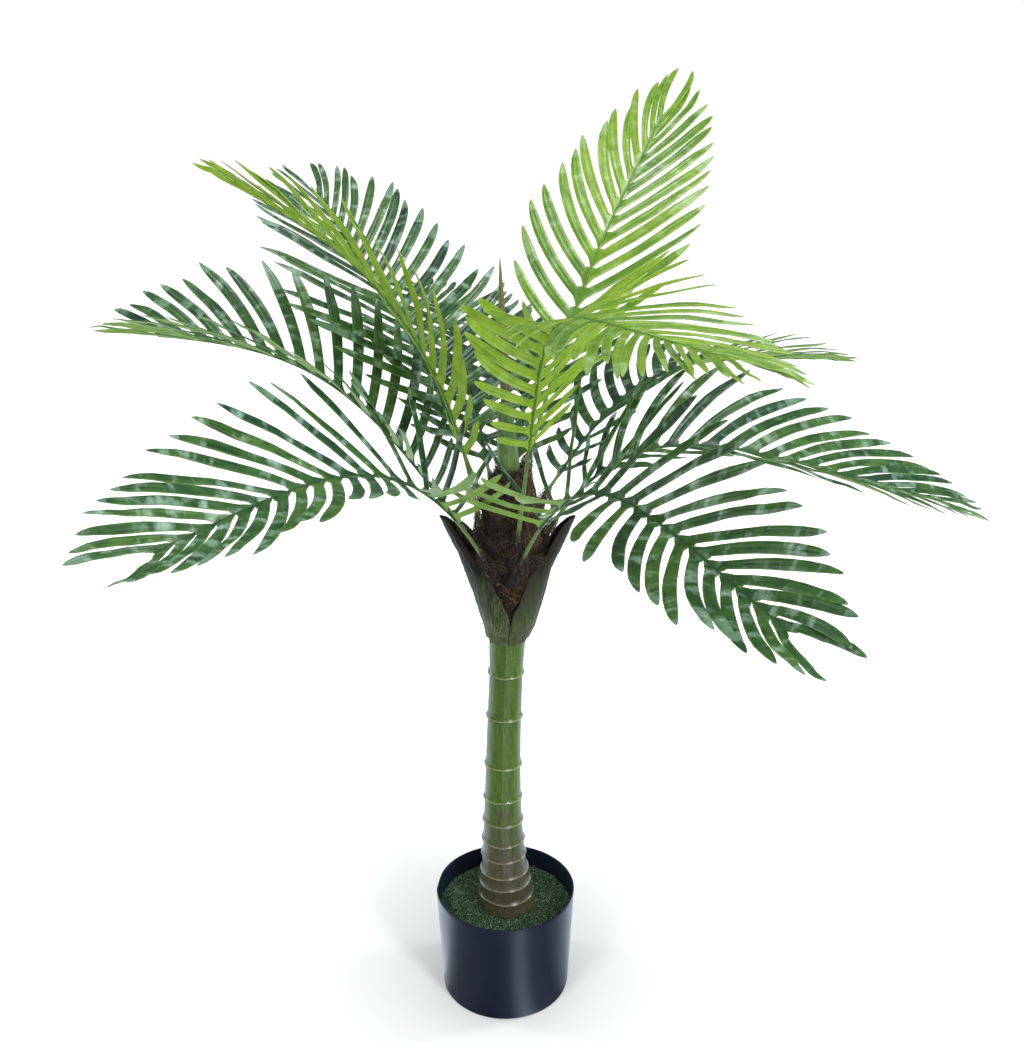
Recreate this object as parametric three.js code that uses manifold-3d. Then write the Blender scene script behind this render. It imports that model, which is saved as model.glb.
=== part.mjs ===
// Artificial areca palm in a round plastic pot.
// Millimetres, +Z up. The origin is the centre of the pot's flat underside.
// Headings are degrees turned from +X towards +Y, and rises are degrees above level.
import * as THREE from "three";
import { mergeVertices } from "three/addons/utils/BufferGeometryUtils.js";
import Module from "manifold-3d";

const wasm = await Module();
wasm.setup();

// Driving dimensions
const gap = 0.3;
const pot = {
  height: 151,
  rimRadius: 94,
  footRadius: 86.8,
  wall: 2.6,
  floor: 5,
  footChamfer: 3,
  sides: 48,
};
const fill = { edgeHeight: 125, topHeight: 127, flatRadius: 46, sides: 32 };
const trunk = {
  foot: fill.topHeight + gap,
  top: 528,
  slimRadius: 21.2,
  flare: 17.4,
  flareReach: 95,
  topSwell: 1.6,
  topSwellFrom: 470,
  footLean: 2.5,
  topLean: 3.2,
  bow: 6,
  bowSkew: 0.75,
  lip: 1.9,
  groove: 0.4,
  lipDrop: 2,
  shoulder: 9,
  sides: 18,
};
const ringHeights = [146, 165, 183, 208, 231, 261, 296, 346, 417, 479];
const crown = { foot: trunk.top + gap, footX: 3.5, topX: 7.5, shiftHeight: 30 };
const boot = {
  tip: 690,
  forkHeight: 560,
  bladeHeight: 652,
  footWidth: 24.5,
  forkWidth: 36,
  bladeWidth: 17,
  bladeSag: 10,
  sagReach: 100,
  footWall: 8,
  wall: 6,
  rimWall: 2.6,
  seamGap: 0.2,
  steps: 12,
  arcSteps: 6,
};
// Heights and the boots' outermost reach there, measured from the left and from the right of the origin.
const bootReach = {
  left: [[528, 21.5], [545, 26.5], [587, 38.5], [641, 56.5], [690, 80]],
  right: [[528, 28.5], [545, 38], [587, 49.5], [622, 57.5], [690, 87]],
};
// Heights and radii of the fibre that fills the boots and stands out above them.
const coreProfile = [
  [crown.foot, 14.5],
  [545, 20],
  [560, 25],
  [587, 27],
  [619, 30],
  [650, 36],
  [666, 40],
  [671, 37],
  [674, 34.5],
  [735, 34.5],
  [744, 31],
  [748, 24],
];
const core = { top: 748, sides: 18 };
const shaft = { footX: 5, topX: 1, footRadius: 14, topRadius: 8, top: 830, sides: 12, steps: 4 };
const spear = { footRadius: 4.6, top: 998, topX: -4.6, tipRadius: 0.8, sides: 8, steps: 6 };
const rib = { rootRadius: 3.2, bladeRadius: 2.5, tipRadius: 1.3, steps: 60, petioleSteps: 6 };
const leaflet = {
  pairs: 18,
  longest: 158,
  width: 15,
  keel: 2.2,
  rootShare: 0.62,
  rootReach: 0.25,
  tipFall: 0.62,
  tipFrom: 0.6,
  tipAngle: 26,
  angleFall: 1.35,
  steps: 8,
  sections: [2, 5],
  gatherReach: 0.25,
  rootWidth: 0.8,
  rootLean: 0.6,
  pitchShare: 0.85,
  keelFoot: 0.45,
  clearance: 0.4,
};
// Degrees that a leaflet may be raised or lowered by to keep clear of another frond.
const lifts = [0, 7, -7, 14, -14, 21, -21];

const colours = {
  pot: 0x14161d,
  fill: 0x24462a,
  trunk: 0x5c7a3a,
  boot: 0x45452f,
  core: 0x35261b,
  shaft: 0x5f8a3c,
  spear: 0x6f7a45,
  young: 0x69a537,
  grown: 0x174a2c,
};

// A frond's rib leaves its seat at its first heading and rise and turns to the last ones in one crook.
// lead is the straight run that roots it in the fibre, petiole and blade are lengths along the rib,
// roll turns the blade about the rib from its first to its last value, fold lifts both rows of
// leaflets into a V, gather closes that V further at the blade's start, spread is a leaflet's angle
// to the rib there, curl bends it towards the tip, sag bends it down, and stretch is its length as
// a share of the longest leaflet's.
const fronds = [
  {
    name: "frond_young_tall",
    young: true,
    seat: [22, 18, 735],
    lead: 6,
    heading: 52,
    swing: 10,
    rise: 62,
    endRise: 36,
    crookAt: 0.51,
    crookReach: 0.22,
    petiole: 110,
    blade: 490,
    roll: -1,
    endRoll: -17,
    fold: 8,
    gather: 0,
    spread: 77,
    curl: 19,
    sag: 16,
    stretch: 0.99,
  },
  {
    name: "frond_young_front",
    young: true,
    seat: [14, -38, 655],
    lead: 10,
    heading: -64,
    swing: -2,
    rise: 77,
    endRise: 2,
    crookAt: 0.48,
    crookReach: 0.08,
    petiole: 140,
    blade: 488,
    roll: -21,
    endRoll: 10,
    fold: 6,
    gather: 0,
    spread: 84,
    curl: 9,
    sag: 14,
    stretch: 1,
  },
  {
    name: "frond_young_left",
    young: true,
    seat: [-28, -12, 665],
    lead: 14,
    heading: 174,
    swing: -3,
    rise: 82,
    endRise: 15,
    crookAt: 0.6,
    crookReach: 0.45,
    petiole: 100,
    blade: 450,
    roll: -19,
    endRoll: -5,
    fold: 15,
    gather: 0,
    spread: 75,
    curl: 18,
    sag: 7,
    stretch: 1.01,
  },
  {
    name: "frond_back_left",
    young: false,
    seat: [-22, 22, 690],
    lead: 14,
    heading: 138,
    swing: -16,
    rise: 59,
    endRise: 30,
    crookAt: 0.38,
    crookReach: 0.08,
    petiole: 90,
    blade: 470,
    roll: -2,
    endRoll: 6,
    fold: 20,
    gather: 0,
    spread: 82,
    curl: 12,
    sag: 12,
    stretch: 1.08,
  },
  {
    name: "frond_left",
    young: false,
    seat: [-40, 4, 655],
    lead: 52,
    heading: 181,
    swing: -9,
    rise: 56,
    endRise: 3,
    crookAt: 0.6,
    crookReach: 0.25,
    petiole: 70,
    blade: 442,
    roll: 14,
    endRoll: 6,
    fold: 14,
    gather: 0,
    spread: 78,
    curl: 16,
    sag: 10,
    stretch: 1,
  },
  {
    name: "frond_front_left",
    young: false,
    seat: [-18, -30, 632],
    lead: 26,
    heading: 219,
    swing: 19,
    rise: 60,
    endRise: -7,
    crookAt: 0.34,
    crookReach: 0.27,
    petiole: 100,
    blade: 468,
    roll: 32,
    endRoll: 12,
    fold: 12,
    gather: 50,
    spread: 84,
    curl: 21,
    sag: -8,
    stretch: 0.95,
  },
  {
    name: "frond_front_right",
    young: false,
    seat: [14, -34, 628],
    lead: 20,
    heading: -52,
    swing: -16,
    rise: 61,
    endRise: -6,
    crookAt: 0.3,
    crookReach: 0.21,
    petiole: 100,
    blade: 498,
    roll: -38,
    endRoll: -21,
    fold: 19,
    gather: 46,
    spread: 93,
    curl: 24,
    sag: -11,
    stretch: 1,
  },
  {
    name: "frond_right",
    young: false,
    seat: [44, -8, 660],
    lead: 20,
    heading: -11,
    swing: 3,
    rise: 59,
    endRise: -17,
    crookAt: 0.32,
    crookReach: 0.2,
    petiole: 80,
    blade: 456,
    roll: -16,
    endRoll: -1,
    fold: 20,
    gather: 0,
    spread: 74,
    curl: 20,
    sag: 10,
    stretch: 0.96,
  },
  {
    name: "frond_back_right",
    young: false,
    seat: [36, 16, 690],
    lead: 10,
    heading: 32,
    swing: -3,
    rise: 49,
    endRise: -6,
    crookAt: 0.43,
    crookReach: 0.19,
    petiole: 50,
    blade: 448,
    roll: 18,
    endRoll: 9,
    fold: 11,
    gather: 0,
    spread: 80,
    curl: 16,
    sag: 10,
    stretch: 1,
  },
  {
    name: "frond_back",
    young: false,
    seat: [9, 38, 672],
    lead: 12,
    heading: 82,
    swing: 4,
    rise: 52,
    endRise: -8,
    crookAt: 0.4,
    crookReach: 0.2,
    petiole: 80,
    blade: 470,
    roll: 6,
    endRoll: 0,
    fold: 14,
    gather: 0,
    spread: 79,
    curl: 16,
    sag: 10,
    stretch: 1,
  },
  {
    name: "frond_back_low",
    young: false,
    seat: [-8, 34, 664],
    lead: 12,
    heading: 108,
    swing: -4,
    rise: 56,
    endRise: 4,
    crookAt: 0.42,
    crookReach: 0.2,
    petiole: 80,
    blade: 470,
    roll: -6,
    endRoll: 0,
    fold: 14,
    gather: 0,
    spread: 79,
    curl: 16,
    sag: 10,
    stretch: 1,
  },
];

// Plain helpers
const radians = THREE.MathUtils.degToRad;
const mix = THREE.MathUtils.lerp;
const clamp = THREE.MathUtils.clamp;

function smooth(value) {
  const t = clamp(value, 0, 1);
  return t * t * (3 - 2 * t);
}

// A closed skin over a row of loops. An end loop of one point is a tip, and any other end gets a cap.
function skin(loops, cap = fanCap) {
  const points = loops.flat();
  const starts = [];
  let count = 0;
  for (const loop of loops) {
    starts.push(count);
    count += loop.length;
  }
  const corners = (i, k, next) => [k, next].map((at) => starts[i] + (loops[i].length === 1 ? 0 : at));
  const faces = [];
  for (let i = 0; i + 1 < loops.length; i += 1) {
    const size = Math.max(loops[i].length, loops[i + 1].length);
    for (let k = 0; k < size; k += 1) {
      const next = (k + 1) % size;
      const low = corners(i, k, next);
      const high = corners(i + 1, k, next);
      if (low[0] !== low[1]) {
        faces.push([low[0], low[1], high[1]]);
      }
      if (high[0] !== high[1]) {
        faces.push([low[0], high[1], high[0]]);
      }
    }
  }
  const last = loops.length - 1;
  if (loops[0].length > 1) {
    faces.push(...cap(loops[0].length, starts[0]).map(([a, b, c]) => [a, c, b]));
  }
  if (loops[last].length > 1) {
    faces.push(...cap(loops[last].length, starts[last]));
  }
  return solidFrom(points, faces);
}

// Cap of a rounded loop.
function fanCap(size, start) {
  const faces = [];
  for (let k = 1; k + 1 < size; k += 1) {
    faces.push([start, start + k, start + k + 1]);
  }
  return faces;
}

// Cap of a crescent, whose loop runs out along one arc and back along the other.
function crescentCap(size, start) {
  const faces = [];
  for (let k = 0; k + 1 < size / 2; k += 1) {
    const far = size - 1 - k;
    faces.push([start + k, start + k + 1, start + far - 1]);
    faces.push([start + k, start + far - 1, start + far]);
  }
  return faces;
}

function signedVolume(points, faces) {
  let sum = 0;
  for (const [a, b, c] of faces) {
    sum += points[a].dot(new THREE.Vector3().crossVectors(points[b], points[c]));
  }
  return sum / 6;
}

// A manifold solid from points and triangles, with its faces turned outwards.
function solidFrom(points, faces) {
  const outward = signedVolume(points, faces) > 0 ? faces : faces.map(([a, b, c]) => [a, c, b]);
  const vertProperties = new Float32Array(points.flatMap((point) => point.toArray()));
  const triVerts = new Uint32Array(outward.flat());
  return new wasm.Manifold(new wasm.Mesh({ numProp: 3, vertProperties, triVerts }));
}

// A manifold solid from a closed three.js geometry, without the flat triangles at a lathe's poles.
function solidFromGeometry(geometry) {
  const bare = geometry.clone();
  bare.deleteAttribute("normal");
  bare.deleteAttribute("uv");
  const merged = mergeVertices(bare, 1e-4);
  const position = merged.getAttribute("position");
  const points = [];
  for (let i = 0; i < position.count; i += 1) {
    points.push(new THREE.Vector3().fromBufferAttribute(position, i));
  }
  const faces = [];
  for (let i = 0; i < merged.index.count; i += 3) {
    const face = [merged.index.getX(i), merged.index.getX(i + 1), merged.index.getX(i + 2)];
    if (new Set(face).size === 3) {
      faces.push(face);
    }
  }
  return solidFrom(points, faces);
}

function geometryFrom(solid) {
  const mesh = solid.getMesh();
  const geometry = new THREE.BufferGeometry();
  const position = new Float32Array(mesh.numVert * 3);
  for (let i = 0; i < mesh.numVert; i += 1) {
    for (let axis = 0; axis < 3; axis += 1) {
      position[3 * i + axis] = mesh.vertProperties[mesh.numProp * i + axis];
    }
  }
  geometry.setAttribute("position", new THREE.BufferAttribute(position, 3));
  geometry.setIndex(new THREE.BufferAttribute(new Uint32Array(mesh.triVerts), 1));
  geometry.computeVertexNormals();
  return geometry;
}

// A turned solid about the Z axis, from a profile of radius and height that starts and ends on the axis.
function turned(profile, sides) {
  const points = profile.map(([radius, height]) => new THREE.Vector2(radius, height));
  const geometry = new THREE.LatheGeometry(points, sides);
  geometry.rotateX(Math.PI / 2);
  return solidFromGeometry(geometry);
}

function circle(centre, radius, sides) {
  const loop = [];
  for (let k = 0; k < sides; k += 1) {
    const turn = (2 * Math.PI * k) / sides;
    const out = new THREE.Vector3(Math.cos(turn), Math.sin(turn), 0);
    loop.push(centre.clone().addScaledVector(out, radius));
  }
  return loop;
}

// Pot and its granule fill
function potSolid() {
  const slope = (pot.rimRadius - pot.footRadius) / pot.height;
  const outer = (height) => pot.footRadius + slope * height;
  const inner = (height) => outer(height) - pot.wall;
  return turned(
    [
      [0, 0],
      [pot.footRadius - pot.footChamfer, 0],
      [outer(pot.footChamfer), pot.footChamfer],
      [outer(pot.height), pot.height],
      [inner(pot.height), pot.height],
      [inner(pot.floor), pot.floor],
      [0, pot.floor],
    ],
    pot.sides,
  );
}

function fillSolid() {
  const slope = (pot.rimRadius - pot.footRadius) / pot.height;
  // The fill has fewer sides than the pot, so its corners are what comes nearest to the wall's flats.
  const flat = Math.cos(Math.PI / pot.sides);
  const edge = (height) => (pot.footRadius + slope * height - pot.wall) * flat - gap;
  return turned(
    [
      [0, pot.floor + gap],
      [edge(pot.floor + gap), pot.floor + gap],
      [edge(fill.edgeHeight), fill.edgeHeight],
      [fill.flatRadius, fill.topHeight],
      [0, fill.topHeight],
    ],
    fill.sides,
  );
}

// Trunk: a slim stem with a flared foot, a slight bow, and a lip at each leaf scar
function trunkLean(height) {
  const t = clamp((height - trunk.foot) / (trunk.top - trunk.foot), 0, 1);
  return mix(trunk.footLean, trunk.topLean, t) - trunk.bow * Math.sin(Math.PI * t ** trunk.bowSkew);
}

function trunkRadius(height) {
  const flare = trunk.flare * Math.exp(-(height - trunk.foot) / trunk.flareReach);
  const swell = trunk.topSwell * smooth((height - trunk.topSwellFrom) / (trunk.top - trunk.topSwellFrom));
  return trunk.slimRadius + flare + swell;
}

function trunkSolid() {
  const levels = [[trunk.foot, trunk.lip]];
  for (const height of ringHeights) {
    levels.push([height - trunk.lipDrop, -trunk.groove]);
    levels.push([height, trunk.lip]);
    levels.push([height + trunk.shoulder, 0]);
  }
  levels.push([trunk.top, 0]);
  const loops = levels.map(([height, extra]) => {
    const centre = new THREE.Vector3(trunkLean(height), 0, height);
    return circle(centre, trunkRadius(height) + extra, trunk.sides);
  });
  return skin(loops);
}

// Crown: two leaf sheaths that clasp it left and right and open in a V, front and back, round a fibre core
function crownX(height) {
  return mix(crown.footX, crown.topX, clamp((height - crown.foot) / crown.shiftHeight, 0, 1));
}

function alongList(list, height) {
  for (let i = 0; i + 1 < list.length; i += 1) {
    const [low, first] = list[i];
    const [high, last] = list[i + 1];
    if (height <= high) {
      return mix(first, last, (height - low) / (high - low));
    }
  }
  return list[list.length - 1][1];
}

// Half the boot's width across its back at a height.
function bootWidth(height) {
  if (height < boot.forkHeight) {
    const share = smooth((height - crown.foot) / (boot.forkHeight - crown.foot));
    return mix(boot.footWidth, boot.forkWidth, share);
  }
  if (height < boot.bladeHeight) {
    const share = (height - boot.forkHeight) / (boot.bladeHeight - boot.forkHeight);
    return mix(boot.forkWidth, boot.bladeWidth, share);
  }
  const share = (height - boot.bladeHeight) / (boot.tip - boot.bladeHeight);
  return boot.bladeWidth * Math.sqrt(1 - share * share);
}

// A boot's crescent section. side is -1 on the left and 1 on the right, and grow thickens the wall.
function bootLoop(side, height, grow) {
  const reach = alongList(side < 0 ? bootReach.left : bootReach.right, height);
  const full = reach - side * crownX(height) - boot.seamGap;
  const sag = mix(full, boot.bladeSag, smooth((height - boot.forkHeight) / boot.sagReach));
  const centre = side * (reach - sag);
  const thin = clamp((height - crown.foot) / (boot.forkHeight - crown.foot), 0, 1);
  const width = bootWidth(height);
  const back = Math.max(sag - mix(boot.footWall, boot.wall, thin), 0.3 * sag) - grow;
  const rim = Math.max(width - mix(boot.footWall, boot.rimWall, thin), 0.5 * width) - grow;
  const outer = [];
  const inner = [];
  for (let k = 0; k <= boot.arcSteps; k += 1) {
    const turn = Math.PI * (k / boot.arcSteps - 0.5);
    const across = Math.sin(turn);
    const away = side * Math.cos(turn);
    outer.push(new THREE.Vector3(centre + away * (sag + grow), across * (width + grow), height));
    inner.unshift(new THREE.Vector3(centre + away * back, across * rim, height));
  }
  return [...outer, ...inner];
}

function bootSolid(side, grow = 0) {
  const loops = [];
  for (let i = 0; i < boot.steps; i += 1) {
    loops.push(bootLoop(side, mix(crown.foot, boot.tip, i / boot.steps), grow));
  }
  const reach = alongList(side < 0 ? bootReach.left : bootReach.right, boot.tip);
  loops.push([new THREE.Vector3(side * (reach - 0.6 * boot.bladeSag), 0, boot.tip + grow)]);
  return skin(loops, crescentCap);
}

function coreSolid(grow = 0) {
  const loops = coreProfile.map(([height, radius], index) => {
    const level = index === coreProfile.length - 1 ? height + grow : height;
    return circle(new THREE.Vector3(crownX(height), 0, level), radius + grow, core.sides);
  });
  return skin(loops);
}

function shaftSolid(grow = 0) {
  const loops = [];
  for (let i = 0; i <= shaft.steps; i += 1) {
    const t = i / shaft.steps;
    const centre = new THREE.Vector3(mix(shaft.footX, shaft.topX, t), 0, mix(core.top + gap, shaft.top, t));
    loops.push(circle(centre, mix(shaft.footRadius, shaft.topRadius, t) + grow, shaft.sides));
  }
  return skin(loops);
}

function spearSolid(grow = 0) {
  const loops = [];
  for (let i = 0; i <= spear.steps; i += 1) {
    const t = i / spear.steps;
    const centre = new THREE.Vector3(mix(shaft.topX, spear.topX, t), 0, mix(shaft.top + gap, spear.top, t));
    loops.push(circle(centre, mix(spear.footRadius, spear.tipRadius, t) + grow, spear.sides));
  }
  return skin(loops);
}

// Fronds
// How far a rib has turned through its crook, from 0 at the seat to 1 at the tip.
function crook(frond, along) {
  const at = (t) => Math.tanh((t - frond.crookAt) / frond.crookReach);
  return (at(along) - at(0)) / (at(1) - at(0));
}

// The rib's tangent, its right-hand side and its upper normal at a share of its length.
function ribFrame(frond, along) {
  const bent = crook(frond, along);
  const heading = radians(frond.heading + frond.swing * bent);
  const rise = radians(mix(frond.rise, frond.endRise, bent));
  const level = Math.cos(rise);
  const tangent = new THREE.Vector3(level * Math.cos(heading), level * Math.sin(heading), Math.sin(rise));
  const side = new THREE.Vector3(Math.sin(heading), -Math.cos(heading), 0);
  return { tangent, side, normal: new THREE.Vector3().crossVectors(side, tangent) };
}

function ribPoints(frond) {
  const length = frond.petiole + frond.blade;
  const points = [new THREE.Vector3(...frond.seat)];
  for (let i = 0; i < rib.steps; i += 1) {
    const { tangent } = ribFrame(frond, (i + 0.5) / rib.steps);
    points.push(points[i].clone().addScaledVector(tangent, length / rib.steps));
  }
  return points;
}

function ribPoint(points, along) {
  const step = Math.min(Math.floor(along * rib.steps), rib.steps - 1);
  return points[step].clone().lerp(points[step + 1], along * rib.steps - step);
}

function ribRadius(frond, along) {
  const petioleShare = frond.petiole / (frond.petiole + frond.blade);
  if (along < petioleShare) {
    return mix(rib.rootRadius, rib.bladeRadius, along / petioleShare);
  }
  return mix(rib.bladeRadius, rib.tipRadius, (along - petioleShare) / (1 - petioleShare));
}

// A place runs from 0 to 1 along the blade, and its share counts from the seat.
function alongFrom(frond, place) {
  return (frond.petiole + place * frond.blade) / (frond.petiole + frond.blade);
}

// The rib's tangent with the blade's own right-hand side and upper side, rolled about it.
function bladeFrame(frond, along) {
  const { tangent, side, normal } = ribFrame(frond, along);
  const place = clamp((along - alongFrom(frond, 0)) / (1 - alongFrom(frond, 0)), 0, 1);
  const roll = radians(mix(frond.roll, frond.endRoll, place));
  const flat = side.clone().multiplyScalar(Math.cos(roll)).addScaledVector(normal, Math.sin(roll));
  const above = normal.clone().multiplyScalar(Math.cos(roll)).addScaledVector(side, -Math.sin(roll));
  return { tangent, flat, above };
}

// A ring of the rib has four corners: right, top, left and bottom.
function ribRing(frond, points, along) {
  const { flat, above } = bladeFrame(frond, along);
  const point = ribPoint(points, along);
  const radius = ribRadius(frond, along);
  return [flat, above, flat.clone().negate(), above.clone().negate()].map((out) =>
    point.clone().addScaledVector(out, radius),
  );
}

function leafletLength(frond, place) {
  const root = mix(leaflet.rootShare, 1, smooth(place / leaflet.rootReach));
  const fall = clamp((place - leaflet.tipFrom) / (1 - leaflet.tipFrom), 0, 1) ** 1.5;
  return frond.stretch * leaflet.longest * root * (1 - leaflet.tipFall * fall);
}

function leafletAngle(frond, place) {
  return radians(mix(leaflet.tipAngle, frond.spread, (1 - place) ** leaflet.angleFall));
}

// Leaflets that lean along the rib are narrower, so that each is clear of the next.
function leafletWidth(frond, place) {
  const pitch = frond.blade / leaflet.pairs;
  return Math.min(leaflet.width, leaflet.pitchShare * pitch * Math.sin(leafletAngle(frond, place)));
}

// A leaflet's centre line. hand is 1 on the right of the rib and -1 on its left, and lift turns the
// leaflet up about the rib.
function leafletLine(frond, points, place, hand, lift) {
  const along = alongFrom(frond, place);
  const { tangent, flat, above } = bladeFrame(frond, along);
  const gathered = frond.gather * (1 - smooth(place / leaflet.gatherReach));
  const fold = radians(frond.fold + gathered + lift);
  const away = flat.clone().multiplyScalar(hand * Math.cos(fold)).addScaledVector(above, Math.sin(fold));
  const up = above.clone().multiplyScalar(Math.cos(fold)).addScaledVector(flat, -hand * Math.sin(fold));
  const first = leafletAngle(frond, place);
  const stride = leafletLength(frond, place) / leaflet.steps;
  const half = leafletWidth(frond, place) / 2;
  const point = ribPoint(points, along).addScaledVector(flat, hand * ribRadius(frond, along));
  const line = [];
  for (let k = 0; k <= leaflet.steps; k += 1) {
    const share = (k + 0.5) / leaflet.steps;
    const angle = first - radians(frond.curl) * share;
    const direction = tangent
      .clone()
      .multiplyScalar(Math.cos(angle))
      .addScaledVector(away, Math.sin(angle))
      .addScaledVector(up, -Math.sin(radians(frond.sag)) * share)
      .normalize();
    const across = new THREE.Vector3().crossVectors(up, direction).normalize();
    const below = new THREE.Vector3().crossVectors(across, direction);
    line.push({ point: point.clone(), across, below, half });
    point.addScaledVector(direction, stride);
  }
  return line;
}

// A section of a leaflet is a flat top with a keel beneath.
function leafletSection({ point, across, below, half }, grow = 0) {
  return [
    point.clone().addScaledVector(across, -half - grow).addScaledVector(below, -grow),
    point.clone().addScaledVector(across, half + grow).addScaledVector(below, -grow),
    point.clone().addScaledVector(below, leaflet.keel + grow),
  ];
}

// A leaflet by itself, thickened by its clearance, to test whether it is clear of what grew before it.
function leafletProbe(line) {
  const loops = [0, ...leaflet.sections].map((step) => leafletSection(line[step], leaflet.clearance));
  loops.push([line[leaflet.steps].point]);
  return skin(loops);
}

// A frond as one closed skin. The rib is a tube with a ring at either end of each pair's roots, and each
// leaflet grows out of the tube between the two.
function frondSolid(frond, points, leaflets) {
  const corners = [];
  const faces = [];
  const add = (loop) => loop.map((point) => corners.push(point) - 1);
  const band = (low, high, skipped = []) => {
    for (let k = 0; k < low.length; k += 1) {
      const next = (k + 1) % low.length;
      if (!skipped.includes(k)) {
        faces.push([low[k], low[next], high[next]], [low[k], high[next], high[k]]);
      }
    }
  };
  const grow = (line, root) => {
    let last = root;
    for (const step of leaflet.sections) {
      const section = add(leafletSection(line[step]));
      band(last, section);
      last = section;
    }
    const [tip] = add([line[leaflet.steps].point]);
    faces.push([last[0], last[1], tip], [last[1], last[2], tip], [last[2], last[0], tip]);
  };
  // The keel starts on the tube's lower face, so that face is parted round its foot.
  const keelFoot = (low, high, corner) => {
    const side = corners[low[corner]].clone().lerp(corners[high[corner]], 0.5);
    const bottom = corners[low[3]].clone().lerp(corners[high[3]], 0.5);
    return add([side.lerp(bottom, leaflet.keelFoot)])[0];
  };

  const foot = ribRing(frond, points, 0);
  const back = ribFrame(frond, 0).tangent.multiplyScalar(-frond.lead);
  const first = add(foot.map((point) => point.clone().add(back)));
  faces.push([first[0], first[2], first[1]], [first[0], first[3], first[2]]);
  let last = first;
  const step = (along) => {
    const ring = add(ribRing(frond, points, along));
    const low = last;
    last = ring;
    return [low, ring];
  };
  for (let k = 0; k <= rib.petioleSteps; k += 1) {
    const [low, high] = step((k / rib.petioleSteps) * alongFrom(frond, 0));
    band(low, high);
  }
  for (let pair = 0; pair < leaflet.pairs; pair += 1) {
    const place = (pair + 0.5) / leaflet.pairs;
    const lean = Math.max(Math.sin(leafletAngle(frond, place)), leaflet.rootLean);
    const half = (leaflet.rootWidth * leafletWidth(frond, place)) / 2 / lean / frond.blade;
    band(...step(alongFrom(frond, place - half)));
    const [low, high] = step(alongFrom(frond, place + half));
    const { right, left } = leaflets[pair];
    band(low, high, [...(left ? [2] : []), ...(right ? [3] : [])]);
    if (right) {
      const keel = keelFoot(low, high, 0);
      faces.push([low[3], low[0], keel], [low[3], keel, high[3]], [keel, high[0], high[3]]);
      grow(right, [low[0], high[0], keel]);
    }
    if (left) {
      const keel = keelFoot(low, high, 2);
      faces.push([low[2], low[3], keel], [low[3], high[3], keel], [high[3], high[2], keel]);
      grow(left, [high[2], low[2], keel]);
    }
  }
  const [low, end] = step(1);
  band(low, end);
  faces.push([end[0], end[1], end[2]], [end[0], end[2], end[3]]);
  return solidFrom(corners, faces);
}

function boxOf(solid) {
  const { min, max } = solid.boundingBox();
  return new THREE.Box3(new THREE.Vector3(...min), new THREE.Vector3(...max));
}

function touches(solid, others) {
  const box = boxOf(solid);
  return others.some((other) => box.intersectsBox(other.box) && !solid.intersect(other.solid).isEmpty());
}

// The largest piece of a cut solid, without its loose scraps.
function largest(solid) {
  const pieces = solid.decompose();
  return pieces.reduce((best, piece) => (piece.volume() > best.volume() ? piece : best));
}

// Grows every frond: first all ribs, then the leaflets, each of which is raised or lowered until it is
// clear of the crown and of all that grew before it, and is left off where it can't be.
function frondSolids() {
  const placed = [];
  const place = (owner, solid) => placed.push({ owner, solid, box: boxOf(solid) });
  for (const solid of [bootSolid(-1), bootSolid(1), coreSolid(), shaftSolid(), spearSolid()]) {
    place("crown", solid);
  }
  const bare = new Array(leaflet.pairs).fill({});
  const grown = fronds.map((frond) => {
    const points = ribPoints(frond);
    place(`${frond.name} rib`, frondSolid(frond, points, bare));
    return { frond, points, leaflets: [] };
  });
  for (const { frond, points, leaflets } of grown) {
    for (let pair = 0; pair < leaflet.pairs; pair += 1) {
      const others = placed.filter(({ owner }) => owner !== `${frond.name} rib`);
      const share = (pair + 0.5) / leaflet.pairs;
      const [right, left] = [1, -1].map((hand) => {
        const lines = lifts.map((lift) => leafletLine(frond, points, share, hand, lift));
        return lines.find((line) => !touches(leafletProbe(line), others));
      });
      leaflets.push({ right, left });
      for (const line of [right, left]) {
        if (line) {
          place(frond.name, leafletProbe(line));
        }
      }
    }
  }
  const crowd = [bootSolid(-1, gap), bootSolid(1, gap), coreSolid(gap), shaftSolid(gap), spearSolid(gap)];
  return grown.map(({ frond, points, leaflets }) => {
    let solid = frondSolid(frond, points, leaflets);
    for (const other of crowd) {
      solid = solid.subtract(other);
    }
    return { name: frond.name, young: frond.young, solid: largest(solid) };
  });
}

// Scene graph
const palm = new THREE.Group();
palm.name = "artificial_areca_palm";

function addPiece(name, solid, colour, roughness) {
  const material = new THREE.MeshStandardMaterial({ color: colour, roughness, metalness: 0 });
  const mesh = new THREE.Mesh(geometryFrom(solid), material);
  mesh.name = name;
  palm.add(mesh);
}

addPiece("pot", potSolid(), colours.pot, 0.4);
addPiece("fill", fillSolid(), colours.fill, 0.95);
addPiece("trunk", trunkSolid(), colours.trunk, 0.45);
addPiece("boot_left", bootSolid(-1), colours.boot, 0.6);
addPiece("boot_right", bootSolid(1), colours.boot, 0.6);
addPiece("fibre_core", coreSolid(), colours.core, 0.95);
addPiece("centre_shaft", shaftSolid(), colours.shaft, 0.5);
addPiece("spear", spearSolid(), colours.spear, 0.6);
for (const { name, young, solid } of frondSolids()) {
  addPiece(name, solid, young ? colours.young : colours.grown, 0.45);
}

export default palm;
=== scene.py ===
"""Looks of the artificial areca palm in its pot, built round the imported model.

Sizes are in millimetres and become metres where a mesh is made. Headings are degrees turned from +X
towards +Y, rises are degrees above level, and colours are linear red, green and blue.
"""

import logging
import math
from collections.abc import Callable, Iterator
from contextlib import contextmanager
from dataclasses import dataclass
from enum import Enum

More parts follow.
